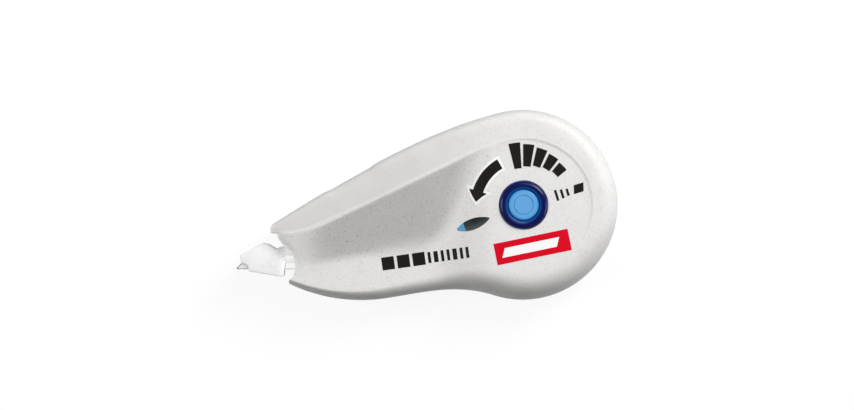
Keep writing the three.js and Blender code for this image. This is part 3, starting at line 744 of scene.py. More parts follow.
@dataclass
class Track:
    """A flat line sampled finely, read by the share of its length."""

    points: list[Vector]
    lengths: list[float] = field(init=False)

    def __post_init__(self) -> None:
        """Adds up the length to each point."""
        pieces = ((after - before).length for before, after in zip(self.points, self.points[1:]))
        self.lengths = [0.0, *accumulate(pieces)]

    def locate(self, share: float) -> tuple[int, float]:
        """Finds a place on the line.

        Args:
            share: the share of the line's length.

        Returns:
            The number of the piece of the line, and the share of that piece.
        """
        goal = limit(share) * self.lengths[-1]
        index = min(bisect_right(self.lengths, goal), len(self.lengths) - 1) - 1
        span = self.lengths[index + 1] - self.lengths[index]
        return index, (goal - self.lengths[index]) / span

    def point(self, share: float) -> Vector:
        """The point at a share of the length."""
        index, part = self.locate(share)
        return self.points[index].lerp(self.points[index + 1], part)

    def inward(self, share: float) -> Vector:
        """The direction into the case.

        Args:
            share: the share of the line's length.

        Returns:
            A flat vector of length 1.
        """
        index, part = self.locate(share)
        along = self.tangent(index).lerp(self.tangent(index + 1), part).normalized()
        return Vector((-along.y, along.x))

    def tangent(self, index: int) -> Vector:
        """The direction of the line at one of its points."""
        last = len(self.points) - 1
        return (self.points[min(index + 1, last)] - self.points[max(index - 1, 0)]).normalized()


@dataclass
class Station:
    """One place on the outline, with what the section there needs."""

    point: Vector
    inward: Vector
    rim: float
    crest: float
    dome: float
    spine: Vector


@dataclass
class CaseForm:
    """The form of both half shells: outline, rim, crest, finger scoop and faces.

    A Span is where a change starts and ends: in millimetres along X, in degrees round the head, or as
    shares of a stretch of the outline.
    """

    head_radius: float = 20.0
    head_top: float = 103.5
    head_bottom: float = -107.65
    shoulder: Point = (-51.0, -3.02)
    shoulder_slope: float = 32.2
    top_pull: float = 0.308
    belly_radius: float = 35.3
    belly_x: float = -34.05
    belly_depth: float = 20.08
    belly_end: float = 278.7
    waist_pull: float = 0.365
    blank_end: float = -57.0
    line_steps: int = 480
    head_part: float = 36 / 88
    band_part: float = 24 / 88
    front_part: float = 4 / 88
    crest_height: float = 8.495
    hub_face: float = 8.3
    front_face: float = 5.0
    face_ramp: Span = (-18.5, -6.5)
    crest_fall_x: float = -20.6
    crest_fall_slope: float = 0.078
    seam_gap: float = 0.2
    crest_line_y: float = 16.15
    crest_line_slope: float = 0.48
    crest_nose_y: float = -5.95
    crest_bend: float = 2.0
    scoop_slope: float = 0.25
    scoop_edge: Span = (0.1, 0.7)
    scoop_fade: Span = (-49.0, -39.5)
    scoop_right_x: float = -14.4
    scoop_right_slope: float = 0.33
    scoop_right_soft: float = 3.4
    foot_round: float = 0.8
    foot_soft_front: float = 0.28
    foot_soft_hub: float = 0.7
    foot_soft_change: Span = (-36.0, -22.0)
    foot_drop: float = 0.12
    rim_head_side: float = 5.0
    rim_head_top: float = 5.6
    rim_head_bottom: float = 6.0
    rim_quarter: Span = (0.0, 90.0)
    rim_band: float = 6.4
    rim_band_change: Span = (0.0, 0.35)
    rim_line_change: Span = (0.35, 0.6)
    rim_line_rounds: int = 12
    rim_nose: float = 0.3
    rim_lip: float = 0.95
    rim_belly: float = 3.3
    rim_waist_change: Span = (0.7, 1.03)
    crest_land: float = 0.8
    # width of the painted highlight on the crest line, as a share of the section's depth
    crest_glint_reach: float = 0.02
    crest_head_change: Span = (-45.0, -10.0)
    crest_back_change: Span = (0.8, 1.0)
    step_run: float = 0.6
    dome_power_low: float = 2.08
    dome_power_belly: float = 1.7
    dome_power_side: float = 3.2
    dome_power_top: float = 6.0
    dome_power_band: float = 9.0
    dome_side_change: Span = (-45.0, 10.0)
    dome_top_start: float = 20.0
    dome_band_change: Span = (0.0, 0.4)
    dome_belly_rise: Span = (0.0, 0.12)
    dome_belly_fall: Span = (0.35, 0.85)
    dome_least: float = 0.3
    grip_start: float = -31.2
    grip_end: float = -41.4
    grip_depth: float = 0.25
    grip_ramp: float = 1.0
    grip_step: float = 0.26
    grip_step_change: Span = (0.7, 1.0)
    wall: float = 1.2
    skin_inset: float = 0.02
    spine_end: Point = (-51.5, -9.6)
    dome_end: float = 0.4
    land_end: float = 0.44
    step_end: float = 0.56
    head: Track = field(init=False)
    top: Track = field(init=False)
    front: Track = field(init=False)
    bottom: Track = field(init=False)

    def __post_init__(self) -> None:
        """Lays out the lines that the outline is made of."""
        start = on_circle(self.head_radius, self.head_top)
        shoulder = Vector(self.shoulder)
        pull = self.top_pull * (shoulder - start).length
        leave = start + on_circle(pull, self.head_top + 90)
        arrive = shoulder + on_circle(pull, self.shoulder_slope)
        top = bezier(start, leave, arrive, shoulder, self.line_steps)
        drop = (shoulder.x - self.blank_end) * math.tan(math.radians(self.shoulder_slope))
        top.append(Vector((self.blank_end, shoulder.y - drop)))
        centre = Vector((self.belly_x, self.belly_radius - self.belly_depth))
        first = -math.degrees(math.acos((self.blank_end - self.belly_x) / self.belly_radius))
        bottom = arc(centre, self.belly_radius, first, self.belly_end - 360)
        head_end = on_circle(self.head_radius, self.head_bottom)
        pull = self.waist_pull * (bottom[-1] - head_end).length
        leave = bottom[-1] + on_circle(pull, self.belly_end + 90)
        arrive = head_end + on_circle(pull, self.head_bottom - 90)
        bottom += bezier(bottom[-1], leave, arrive, head_end)[1:]
        round_head = arc(Vector((0, 0)), self.head_radius, self.head_bottom, self.head_top, self.line_steps)
        self.head = Track(round_head)
        self.top = Track(top)
        self.front = Track([top[-1], bottom[0]])
        self.bottom = Track(bottom)

    def grip(self, x: float) -> float:
        """How deep the shallow grip recess in the top edge is."""
        start = ease(-x, -self.grip_start, self.grip_ramp - self.grip_start)
        return self.grip_depth * start * ease(x, self.grip_end, self.grip_end + self.grip_ramp)

    def crest_at(self, x: float) -> float:
        """Height of the crest along the top band and round the head."""
        return self.crest_height - self.crest_fall_slope * max(self.crest_fall_x - x, 0.0)

    def crest_line(self, x: float) -> float:
        """Y of the line where the finger scoop starts, which bends level before the nose."""
        return round_max(self.crest_line_y + self.crest_line_slope * x, self.crest_nose_y, self.crest_bend)

    def scoop_at(self, x: float, y: float) -> float:
        """Height of the finger scoop's slope, which starts at the crest line."""
        crest = self.crest_at(x)
        return min(crest, crest - self.scoop_slope * (self.crest_line(x) - y))

    def ramp_at(self, x: float) -> float:
        """Height of the front face, and of the rise from it to the hub face."""
        return mix(self.front_face, self.hub_face, ease(x, *self.face_ramp))

    def face_at(self, x: float, y: float) -> float:
        """Height of the outer face inside the crest: finger scoop, front face and hub face."""
        return min(round_max(self.scoop_at(x, y), self.ramp_at(x), self.foot_round), self.crest_at(x))

    def top_rim(self, share: float) -> float:
        """Rim width along the top band: even at first, and then so that the crest keeps to its line.

        Args:
            share: the share of the top band, from the head to the nose.

        Returns:
            The width.
        """
        band = mix(self.rim_head_top, self.rim_band, ease(share, *self.rim_band_change))
        start = self.top.point(share)
        inward = self.top.inward(share)
        reach = band
        for _ in range(self.rim_line_rounds):
            reach = (self.crest_line(start.x + inward.x * reach) - start.y) / inward.y
        on_line = max(reach - self.crest_land, self.rim_nose)
        return mix(band, min(band, on_line), ease(share, *self.rim_line_change))

    def bottom_rim(self, share: float) -> float:
        """Rim width from the lower lip to the head."""
        belly = mix(self.rim_lip, self.rim_belly, limit(share / self.rim_waist_change[0]))
        return mix(belly, self.rim_head_bottom, ease(share, *self.rim_waist_change))

    def head_rim(self, degrees: float) -> float:
        """Rim width round the head."""
        end = self.rim_head_bottom if degrees < 0 else self.rim_head_top
        return mix(self.rim_head_side, end, ease(abs(degrees), *self.rim_quarter))

    def station(self, turn: float, crest_all_round: bool) -> Station:
        """The station at a share of the way round the outline.

        Args:
            turn: from 0 at the waist over the head, top band, front and belly to 1.
            crest_all_round: whether the raised crest goes round the whole head, as on the back.

        Returns:
            The station.
        """
        head, band, front = self.head_part, self.band_part, self.front_part
        if turn < head:
            return self.head_station(turn / head, crest_all_round)
        if turn < head + band:
            return self.band_station((turn - head) / band)
        if turn < head + band + front:
            return self.front_station((turn - head - band) / front)
        return self.belly_station(limit((turn - head - band - front) / band), crest_all_round)

    def head_station(self, share: float, crest_all_round: bool) -> Station:
        """A station of the head, from the waist to the top band.

        Args:
            share: the share of the head.
            crest_all_round: whether the raised crest goes round the whole head.

        Returns:
            The station.
        """
        degrees = mix(self.head_bottom, self.head_top, share)
        crest = 1.0 if crest_all_round else ease(degrees, *self.crest_head_change)
        side = mix(self.dome_power_low, self.dome_power_side, ease(degrees, *self.dome_side_change))
        dome = mix(side, self.dome_power_top, ease(degrees, self.dome_top_start, self.head_top))
        point = self.head.point(share)
        return Station(point, self.head.inward(share), self.head_rim(degrees), crest, dome, Vector((0, 0)))

    def band_station(self, share: float) -> Station:
        """A station of the top band, from the head to the nose.

        Args:
            share: the share of the band.

        Returns:
            The station.
        """
        dome = mix(self.dome_power_top, self.dome_power_band, ease(share, *self.dome_band_change))
        inward = self.top.inward(share)
        point = self.top.point(share)
        point += inward * self.grip(point.x)
        return Station(point, inward, self.top_rim(share), 1.0, dome, Vector(self.spine_end) * share)

    def front_station(self, share: float) -> Station:
        """A station of the blank front, which the mouth cuts off, from the nose to the lower lip.

        Args:
            share: the share of the front.

        Returns:
            The station.
        """
        rim = mix(self.rim_nose, self.rim_lip, share)
        dome = mix(self.dome_power_band, self.dome_power_low, share)
        point = self.front.point(share)
        return Station(point, self.front.inward(share), rim, 1 - share, dome, Vector(self.spine_end))

    def belly_station(self, share: float, crest_all_round: bool) -> Station:
        """A station of the belly and the waist, from the lower lip to the head.

        Args:
            share: the share of the belly and the waist.
            crest_all_round: whether the crest rises again before the head.

        Returns:
            The station.
        """
        crest = ease(share, *self.crest_back_change) if crest_all_round else 0.0
        belly = ease(share, *self.dome_belly_rise) - ease(share, *self.dome_belly_fall)
        dome = mix(self.dome_power_low, self.dome_power_belly, belly)
        spine = Vector(self.spine_end) * (1 - share)
        point = self.bottom.point(share)
        return Station(point, self.bottom.inward(share), self.bottom_rim(share), crest, dome, spine)

    def scoop_share(self, spot: Vector) -> float:
        """How much a point belongs to the finger scoop, which sets how much painted shade and how many more
        flecks it gets.

        Args:
            spot: the point.

        Returns:
            A share from 0 to 1.
        """
        below = ease(self.crest_line(spot.x) - spot.y, *self.scoop_edge)
        soft = mix(self.foot_soft_front, self.foot_soft_hub, ease(spot.x, *self.foot_soft_change))
        above = self.scoop_at(spot.x, spot.y) - self.ramp_at(spot.x) + self.foot_drop
        past = spot.x - self.scoop_right_x - self.scoop_right_slope * spot.y
        right = 1 - ease(past, -self.scoop_right_soft, self.scoop_right_soft)
        return below * ease(above, -soft, soft) * right * ease(spot.x, *self.scoop_fade)

    def crest_share(self, depth: float) -> float:
        """How much a depth in a section belongs to the thin line of the crest, which gets a painted
        highlight.
        """
        return limit(1 - abs(depth - self.land_end) / self.crest_glint_reach)

    def surface(self, station: Station, depth: float) -> Vector:
        """A point of the outer skin in one section: over the dome, the crest, its step and the face.

        Args:
            station: the section's station.
            depth: from 0 at the parting plane to 1 on the spine.

        Returns:
            The point in millimetres.
        """
        crest_point = station.point + station.inward * station.rim
        top = mix(self.face_at(*crest_point), self.crest_at(crest_point.x), station.crest)
        dome = max(station.rim - self.crest_land / 2 - self.skin_inset, self.dome_least)
        land_start = self.skin_inset + dome
        land_end = max(station.rim + self.crest_land / 2, land_start)
        if depth <= self.dome_end:
            band_top = top - self.grip_step * self.grip(station.point.x) / self.grip_depth * station.crest
            angle = math.pi / 2 * depth / self.dome_end
            bend = 2 / station.dome
            flat = station.point + station.inward * (self.skin_inset + dome * (1 - math.cos(angle) ** bend))
            height = mix(band_top, top, ease(depth / self.dome_end, *self.grip_step_change))
            return Vector((*flat, max(height * math.sin(angle) ** bend, self.seam_gap / 2)))
        if depth <= self.land_end:
            share = (depth - self.dome_end) / (self.land_end - self.dome_end)
            flat = station.point + station.inward * mix(land_start, land_end, share)
            return Vector((*flat, top))
        if depth <= self.step_end:
            share = (depth - self.land_end) / (self.step_end - self.land_end)
            flat = station.point + station.inward * (land_end + self.step_run * share)
            return Vector((*flat, mix(top, self.face_at(*flat), ease(share, 0, 1))))
        share = (depth - self.step_end) / (1 - self.step_end)
        edge = station.point + station.inward * (land_end + self.step_run)
        flat = edge.lerp(station.spine, share)
        return Vector((*flat, self.face_at(*flat)))


class Side(Enum):
    """The two half shells, with the way that each one looks."""

    FRONT = 1
    BACK = -1


@dataclass
class HalfShell:
    """One half of the case: a fine skin with a wall, the mouth, and in front the knob hole and window."""

    side: Side
    form: CaseForm
    knob_hole: float = 5.17
    window_length: float = 7.3
    window_width: float = 2.4
    window_place: Point = (-10.4, -3.95)
    window_turn: float = 20.4
    window_heel: float = 0.18
    window_bulge: float = 0.62
    window_pull: float = 0.4
    cut_floor_hole: float = 1.0
    cut_floor_window: float = 0.5
    cut_reach: float = 12.0
    columns: int = 352
    rings: int = 50
    skin_rounds: int = 3
    wall_rounds: int = 8
    wall_foot: float = 0.5
    # painted shade on the top band, as a share of the finger scoop's
    band_shade: float = 0.3
    band_fade: Span = (4.0, 18.0)
    flecks: float = 0.5
    flecks_more_scoop: float = 0.5
    flecks_less_band: float = 0.3
    edge_round: float = 0.9
    edge_reach_x: float = -46.5
    # painted highlight along the rounded mouth edge, by how far the skin falls there
    edge_glint: float = 3.0
    lip_depth: float = 0.75
    lip_thickness: float = 0.4
    lip_height: float = 0.5
    lip_end_x: float = -48.9
    block_height: float = 5.0
    tongue_top: float = 0.8
    mouth_curves: tuple[tuple[Point, Point, Point, Point], ...] = (
        ((-51.6, -3.4), (-52.5, -3.97), (-53.05, -4.5), (-53.05, -5.2)),
        ((-53.05, -5.2), (-53.05, -5.7), (-52.8, -6.0), (-52.25, -6.0)),
        ((-51.55, -6.0), (-51.3, -8.36), (-48.6, -8.95), (-48.1, -11.0)),
        ((-48.1, -11.0), (-47.6, -12.6), (-47.7, -13.8), (-48.45, -15.5)),
        ((-48.45, -15.5), (-48.93, -15.5), (-49.15, -15.73), (-49.15, -16.2)),
    )
    mouth_before: tuple[Point, ...] = ((-62.0, 0.0), (-51.6, -3.1))
    mouth_after: tuple[Point, ...] = ((-49.15, -22.0), (-62.0, -22.0))
    block: tuple[Point, ...] = (
        (-56.0, -6.6), (-50.35, -3.05), (-50.35, -6.6), (-50.7, -7.5), (-56.0, -7.5),
    )
    tongue: tuple[Point, ...] = (
        (-52.5, -4.65), (-47.6, -1.5), (-47.3, -2.1), (-50.2, -4.0), (-51.6, -5.6), (-52.4, -5.6),
    )

    def skin(self) -> bmesh.types.BMesh:
        """The outer skin, laid over a grid, marked for painted shade on the scoop and top band and a painted
        highlight on the crest and mouth edge.

        Returns:
            The open bmesh of the skin.
        """
        mesh = bmesh.new()
        bmesh.ops.create_grid(mesh, x_segments=self.columns, y_segments=self.rings, size=0.5)
        shaded = mesh.verts.layers.float.new("shaded")
        crest = mesh.verts.layers.float.new("crest")
        flecked = mesh.verts.layers.float.new("flecked")
        stations = self.stations()
        line = self.mouth_line()
        for vert in mesh.verts:
            station = stations[round((vert.co.x + 0.5) * self.columns) % self.columns]
            depth = vert.co.y + 0.5
            spot = self.form.surface(station, depth)
            drop = self.edge_drop(spot, line)
            spot.z = max(spot.z - drop, self.form.seam_gap / 2)
            vert.co = place(spot.x, spot.y, self.side.value * spot.z)
            band = station.crest * ease(-spot.x, *self.band_fade)
            scoop = self.form.scoop_share(spot)
            inside = depth > self.form.land_end
            # painted shade: full on the finger scoop, and a share of it on the top band
            vert[shaded] = scoop if inside else self.band_shade * band
            change = self.flecks_more_scoop * scoop if inside else -self.flecks_less_band * band
            vert[flecked] = self.flecks + change
            # painted highlight: the crest line, and the rounded edge of the mouth
            glint = station.crest * self.form.crest_share(depth)
            vert[crest] = max(glint, limit(self.edge_glint * drop / self.edge_round))
        bmesh.ops.remove_doubles(mesh, verts=mesh.verts, dist=SKIN_WELD)
        smooth(mesh, [vert for vert in mesh.verts if not vert.is_boundary], self.skin_rounds)
        look_towards(mesh, self.side.value)
        return mesh

    def stations(self) -> list[Station]:
        """The stations of all columns of the skin."""
        crest_all_round = self.side is Side.BACK
        return [self.form.station(column / self.columns, crest_all_round) for column in range(self.columns)]

    def edge_drop(self, spot: Vector, line: Sequence[Vector]) -> float:
        """How far the skin falls away at the rounded edge of the front opening.

        Args:
            spot: a point of the skin.
            line: the edge of the opening.

        Returns:
            The drop in millimetres.
        """
        if spot.x > self.edge_reach_x:
            return 0.0
        away = min((spot.xy - point).length for point in line)
        inside = max(self.edge_round - away, 0.0)
        return self.edge_round - math.sqrt(self.edge_round**2 - inside**2)

    def mouth_line(self, steps: int = 16, apart: float = 0.01) -> list[Vector]:
        """The edge of the front opening, from the upper lip round to the lower lip.

        Args:
            steps: how many pieces each curve has.
            apart: points nearer than this to the next one are left out.

        Returns:
            The points in order.
        """
        points = []
        for curve in self.mouth_curves:
            points += bezier(*(Vector(spot) for spot in curve), steps)
        kept = [first for first, second in zip(points, points[1:]) if (first - second).length > apart]
        return kept + points[-1:]

    def mouth_cutter(self) -> bpy.types.Object:
        """The tool that opens the front and shapes the two lips."""
        outline = [*self.mouth_before, *self.mouth_line(), *self.mouth_after]
        return slab(outline, -self.cut_reach, self.cut_reach, "mouth_cutter")

    def window_cutter(self) -> bpy.types.Object:
        """The leaf-shaped tool that cuts the window.

        Returns:
            The tool.
        """
        half = self.window_length / 2
        heel = self.window_width * self.window_heel
        bulge = self.window_width * self.window_bulge
        leave = Vector((half * self.window_pull, bulge))
        arrive = Vector((-half * self.window_pull, bulge))
        upper = bezier(Vector((half, 0)), leave, arrive, Vector((heel - half, heel)), steps=24)
        upper += arc(Vector((heel - half, 0)), heel, 90, 180, steps=6)[1:]
        lower = [Vector((spot.x, -spot.y)) for spot in reversed(upper)][1:-1]
        turn = Matrix.Rotation(math.radians(self.window_turn), 2)
        outline = [turn @ spot + Vector(self.window_place) for spot in upper + lower]
        return slab(outline, self.cut_floor_window, self.cut_reach, "window_cutter")

    def hole_cutter(self) -> bpy.types.Object:
        """The round tool that cuts the knob hole."""
        low, high, radius = self.cut_floor_hole, self.cut_reach, self.knob_hole
        return turned([(0.0, low), (radius, low), (radius, high), (0.0, high)], "hole_cutter")

    def nose_block(self) -> bpy.types.Object:
        """The solid part of the nose, behind the skin of the upper lip."""
        heights = self.side.value * self.form.seam_gap / 2, self.side.value * self.block_height
        return slab(self.block, min(heights), max(heights), "nose_block")

    def shell(self) -> bpy.types.Object:
        """The skin with its wall and its solid nose, cut open.

        Returns:
            The undressed shell.
        """
        shell = object_from(self.skin(), f"shell_{self.side.name.lower()}", smooth_below=60.0)
        outer_count = len(shell.data.vertices)
        thicken(shell, self.form.wall, -1.0)
        self.even_inside(shell, outer_count)
        combine(shell, self.nose_block(), Change.ADD)
        combine(shell, self.mouth_cutter(), Change.CUT)
        if self.side is Side.FRONT:
            combine(shell, self.hole_cutter(), Change.CUT)
            combine(shell, self.window_cutter(), Change.CUT)
        with editing(shell) as mesh:
            bmesh.ops.remove_doubles(mesh, verts=mesh.verts, dist=CUT_WELD)
            mark_sharp(mesh, smooth_below=38.0)
        return shell

    def even_inside(self, shell: bpy.types.Object, outer_count: int) -> None:
        """Smooths the inner face of the wall, which an even thickness leaves creased at tight bends.

        Args:
            shell: the shell with its wall.
            outer_count: how many vertices of the outer skin come before those of the inner face.
        """
        with editing(shell) as mesh:
            mesh.verts.ensure_lookup_table()
            foot = self.wall_foot * MM
            inner = mesh.verts[outer_count:]
            smooth(mesh, [vert for vert in inner if abs(vert.co.z - WINDING_AXIS.z) > foot], self.wall_rounds)

    def seam_lip(self) -> bpy.types.Object:
        """The thin lip inside the parting line, which the front shell closes over.

        Returns:
            The lip, an open ring that ends at the mouth.
        """
        stations = self.stations()
        mouth = [column for column, station in enumerate(stations) if station.point.x < self.lip_end_x]
        run = stations[mouth[-1] + 1:] + stations[:mouth[0]]
        near, far = self.lip_depth, self.lip_depth + self.lip_thickness
        low, high = -self.lip_height, self.lip_height
        section = ((near, low), (near, high), (far, high), (far, low))
        mesh = bmesh.new()
        bmesh.ops.create_grid(mesh, x_segments=len(run) - 1, y_segments=len(section), size=0.5)
        for vert in mesh.verts:
            station = run[round((vert.co.x + 0.5) * (len(run) - 1))]
            depth, height = section[round((vert.co.y + 0.5) * len(section)) % len(section)]
            vert.co = place(*(station.point + station.inward * depth), height)
        bmesh.ops.remove_doubles(mesh, verts=mesh.verts, dist=WELD)
        ends = [edge for edge in mesh.edges if edge.is_boundary]
        bmesh.ops.holes_fill(mesh, edges=ends, sides=len(section))
        bmesh.ops.recalc_face_normals(mesh, faces=mesh.faces)
        return object_from(mesh, "seam_lip", smooth_below=40.0)

    def nose_tongue(self) -> bpy.types.Object:
        """The tongue that fills the parting gap inside the nose, in front of the end of the lip."""
        half_gap = self.form.seam_gap / 2
        return slab(self.tongue, -half_gap, half_gap * self.tongue_top, "nose_tongue")

    def build(self, shop: PaintShop) -> list[bpy.types.Object]:
        """Builds and dresses the half shell and, on the back, the lip and the tongue.

        Args:
            shop: where the finishes come from.

        Returns:
            The finished pieces.
        """
        pieces = [self.shell()]
        if self.side is Side.BACK:
            pieces += [self.seam_lip(), self.nose_tongue()]
        for piece in pieces:
            dress(piece, shop.get(Paint.SHELL))
            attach(piece, "case")
            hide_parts(f"case_{self.side.name.lower()}")
        return pieces


# The winding train


@dataclass
class WindingKnob:
    """The drive gear with its knob ring, and the light blue cap in the middle of it."""

    radius: float = 5.05
    top: float = 8.995
    edge_round: float = 0.8
    seat_gap: float = 0.12
    seat_floor: float = 0.2
    seat_edge: tuple[Point, ...] = ((0.5, 0.03), (0.15, 0.12), (0.0, 0.3))
    bore: float = 2.75
    cap_radius: float = 3.25
    cap_top: float = 8.75
    cap_length: float = 3.2
    cap_round: float = 0.5
    groove_radius: float = 2.0
    groove_depth: float = 0.16
    groove_half_top: float = 0.12
    groove_half_floor: float = 0.05
    teeth: int = 50
    pitch_radius: float = 15.5
    module: float = 0.62
    tooth_above: float = 0.8
    tooth_below: float = 1.15
    tooth_half_top: float = 0.12
    tooth_half_root: float = 0.33
    gear_bottom: float = -3.55
    gear_top: float = -2.65

    def knob(self) -> bpy.types.Object:
        """The hub and knob ring as one turned body.

        Returns:
            The undressed piece.
        """
        seat = self.cap_radius + self.seat_gap
        floor = self.cap_top - self.cap_length - self.seat_floor
        profile = [(self.bore, self.gear_bottom), (self.radius, self.gear_bottom)]
        profile += rounded_corner(self.radius, self.top, self.edge_round, steps=8)
        profile += [(seat + out, self.top - below) for out, below in self.seat_edge]
        profile += [(seat, floor), (self.bore, floor), (self.bore, self.gear_bottom)]
        return turned(profile, "knob_hub")

    def gear(self) -> bpy.types.Object:
        """The toothed web under the supply roll, with a tooth on the line to the take-up reel.

        Returns:
            The undressed piece.
        """
        across = TAKE_UP_AXIS - WINDING_AXIS
        turn = math.degrees(math.atan2(across.y, across.x))
        pitch = 360 / self.teeth
        root = self.pitch_radius - self.tooth_below * self.module
        tip = self.pitch_radius + self.tooth_above * self.module
        flank = ((root, -self.tooth_half_root), (tip, -self.tooth_half_top),
                 (tip, self.tooth_half_top), (root, self.tooth_half_root))
        outline = [on_circle(reach, turn + (tooth + offset) * pitch)
                   for tooth in range(self.teeth) for reach, offset in flank]
        return slab(outline, self.gear_bottom, self.gear_top, "gear_web")

    def cap(self) -> bpy.types.Object:
        """The cap, with a fine round groove in its top.

        Returns:
            The undressed piece.
        """
        bottom = self.cap_top - self.cap_length
        floor = self.cap_top - self.groove_depth
        wide, narrow = self.groove_half_top, self.groove_half_floor
        profile = [(0.0, bottom), (self.cap_radius, bottom)]
        profile += rounded_corner(self.cap_radius, self.cap_top, self.cap_round, steps=6)
        profile += [(self.groove_radius + wide, self.cap_top), (self.groove_radius + narrow, floor)]
        profile += [(self.groove_radius - narrow, floor), (self.groove_radius - wide, self.cap_top)]
        return turned([*profile, (0.0, self.cap_top)], "cap_disc")

    def build(self, shop: PaintShop) -> list[bpy.types.Object]:
        """Builds and dresses the knob, the gear and the cap.

        Args:
            shop: where the finishes come from.

        Returns:
            The pieces.
        """
        knob, gear, cap = self.knob(), self.gear(), self.cap()
        dress(knob, shop.get(Paint.KNOB))
        dress(gear, shop.get(Paint.GEAR))
        dress(cap, shop.get(Paint.CAP))
        for piece, slot in ((knob, "drive_blue"), (gear, "drive_blue"), (cap, "cap_blue")):
            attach(piece, "drive")
        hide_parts("drive_gear")
        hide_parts("drive_gear")
        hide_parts("knob_cap")
        return [knob, gear, cap]


@dataclass
class Reels:
    """The pieces inside the case, which keep their solids and get their finishes."""

    finishes: dict[str, Paint] = field(default_factory=lambda: {
        "clutch_ring": Paint.REEL,
        "supply_core": Paint.REEL,
        "supply_tape_roll": Paint.FRESH,
        "take_up_reel": Paint.REEL,
        "take_up_flange": Paint.REEL,
        "used_tape_roll": Paint.USED,
    })

    def build(self, shop: PaintShop) -> list[bpy.types.Object]:
        """Dresses each inner piece.

        Args:
            shop: where the finishes come from.

        Returns:
            The pieces.
        """
        pieces = [frame["nodes"][node] for node in self.finishes]
        for piece, paint in zip(pieces, self.finishes.values()):
            dress(piece, shop.get(paint))
        return pieces


# Applicator tip and tape


@dataclass
class Applicator:
    """The clear tip with its two cheeks, blade, neck and cross pins, and the tape round its nose."""

    nose: Point = (-60.0, -13.3)
    chisel: Point = (-59.0, -12.35)
    blade_rear: Point = (-51.2, -10.85)
    blade_overlap: float = 0.2
    blade_bevel: float = 0.1
    neck_bottom: float = -12.2
    neck_steps: Point = (0.8, 1.2)
    trunnion_x: float = -44.0
    cheek_inner: float = 2.65
    cheek_outer: float = 3.45
    cheek_bevel: float = 0.14
    cheek_outline: tuple[Point, ...] = (
        (-59.5, -10.6), (-54.7, -8.0), (-53.5, -8.3), (-51.9, -9.2), (-49.8, -8.4), (-46.2, -8.4),
        (-46.2, -10.2), (-50.6, -10.77), (-50.0, -12.4), (-50.3, -14.9), (-50.7, -15.1),
        (-57.6, -13.9), (-57.7, -13.1), (-58.0, -12.5), (-59.2, -12.1),
    )
    pins: tuple[tuple[float, float, float], ...] = ((-52.45, -12.3, 0.85), (-54.6, -12.75, 0.3))
    pin_proud: float = 0.02
    tape_half: float = 2.5
    film: float = 0.08
    tape_lift: float = 0.19
    chisel_ease: float = 12.0
    rear_slack: float = 0.07
    strand_start: Point = (0.0, -13.375)
    strand_end: Point = (-21.4, -9.675)

    def cheek(self, low: float, high: float, name: str) -> bpy.types.Object:
        """One side cheek that guides the tape's edge."""
        return slab(self.cheek_outline, low, high, name, self.cheek_bevel)

    def blade(self) -> bpy.types.Object:
        """The blade with its chisel nose, and the neck that runs into the case.

        Returns:
            The undressed piece.
        """
        rear_x, rear_y = self.blade_rear
        under, neck = self.neck_steps
        outline = [self.nose, (rear_x + under, self.nose[1]), (rear_x + neck, self.neck_bottom),
                   (self.trunnion_x, self.neck_bottom), (self.trunnion_x, rear_y), self.blade_rear,
                   self.chisel]
        half = self.cheek_inner + self.blade_overlap
        return slab(outline, -half, half, "tip_blade", self.blade_bevel)

    def pin(self, x: float, y: float, radius: float) -> bpy.types.Object:
        """A cross pin from cheek to cheek.

        Args:
            x: the pin's place along the tip.
            y: its place across the tip.
            radius: its radius.

        Returns:
            The undressed piece.
        """
        reach = self.cheek_outer + self.pin_proud
        profile = [(0.0, -reach), (radius, -reach), (radius, reach), (0.0, reach)]
        return turned(profile, "tip_pin", steps=32, axis=place(x, y, 0))

    def strand(self) -> bpy.types.Object:
        """The tape from the supply roll round the nose and back, as a thin ribbon.

        Returns:
            The undressed piece.
        """
        nose = Vector(self.nose)
        chisel = Vector(self.chisel)
        rear_x, rear_y = self.blade_rear
        steep = math.degrees(math.atan2(chisel.y - nose.y, chisel.x - nose.x)) + 90
        line = [Vector(self.strand_start), Vector((rear_x, nose.y - self.tape_lift))]
        line += arc(nose, self.tape_lift, 270, steep, steps=8)
        line.append(chisel + on_circle(self.tape_lift, steep - self.chisel_ease))
        line.append(Vector((rear_x - self.rear_slack, rear_y + self.tape_lift)))
        line.append(Vector(self.strand_end))
        mesh = bmesh.new()
        corners = [mesh.verts.new(place(spot.x, spot.y, -self.tape_half)) for spot in line]
        edges = [mesh.edges.new(pair) for pair in zip(corners, corners[1:])]
        lift(mesh, bmesh.ops.extrude_edge_only(mesh, edges=edges), 2 * self.tape_half)
        bmesh.ops.recalc_face_normals(mesh, faces=mesh.faces)
        strand = object_from(mesh, "tape_strand", smooth_below=40.0)
        thicken(strand, self.film, 0.0)
        return strand

    def build(self, shop: PaintShop) -> list[bpy.types.Object]:
        """Builds and dresses the tip and the tape.

        Args:
            shop: where the finishes come from.

        Returns:
            The pieces.
        """
        front = self.cheek(self.cheek_inner, self.cheek_outer, "tip_cheek_front")
        back = self.cheek(-self.cheek_outer, -self.cheek_inner, "tip_cheek_back")
        parts = [front, back, self.blade()] + [self.pin(*pin) for pin in self.pins]
        for piece in parts:
            dress(piece, shop.get(Paint.TIP))
            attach(piece, "case")
            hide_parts("applicator_tip")
        strand = self.strand()
        dress(strand, shop.get(Paint.WHITE_TAPE))
        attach(strand, "case")
        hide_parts("tape_run")
        return [*parts, strand]


# Prints


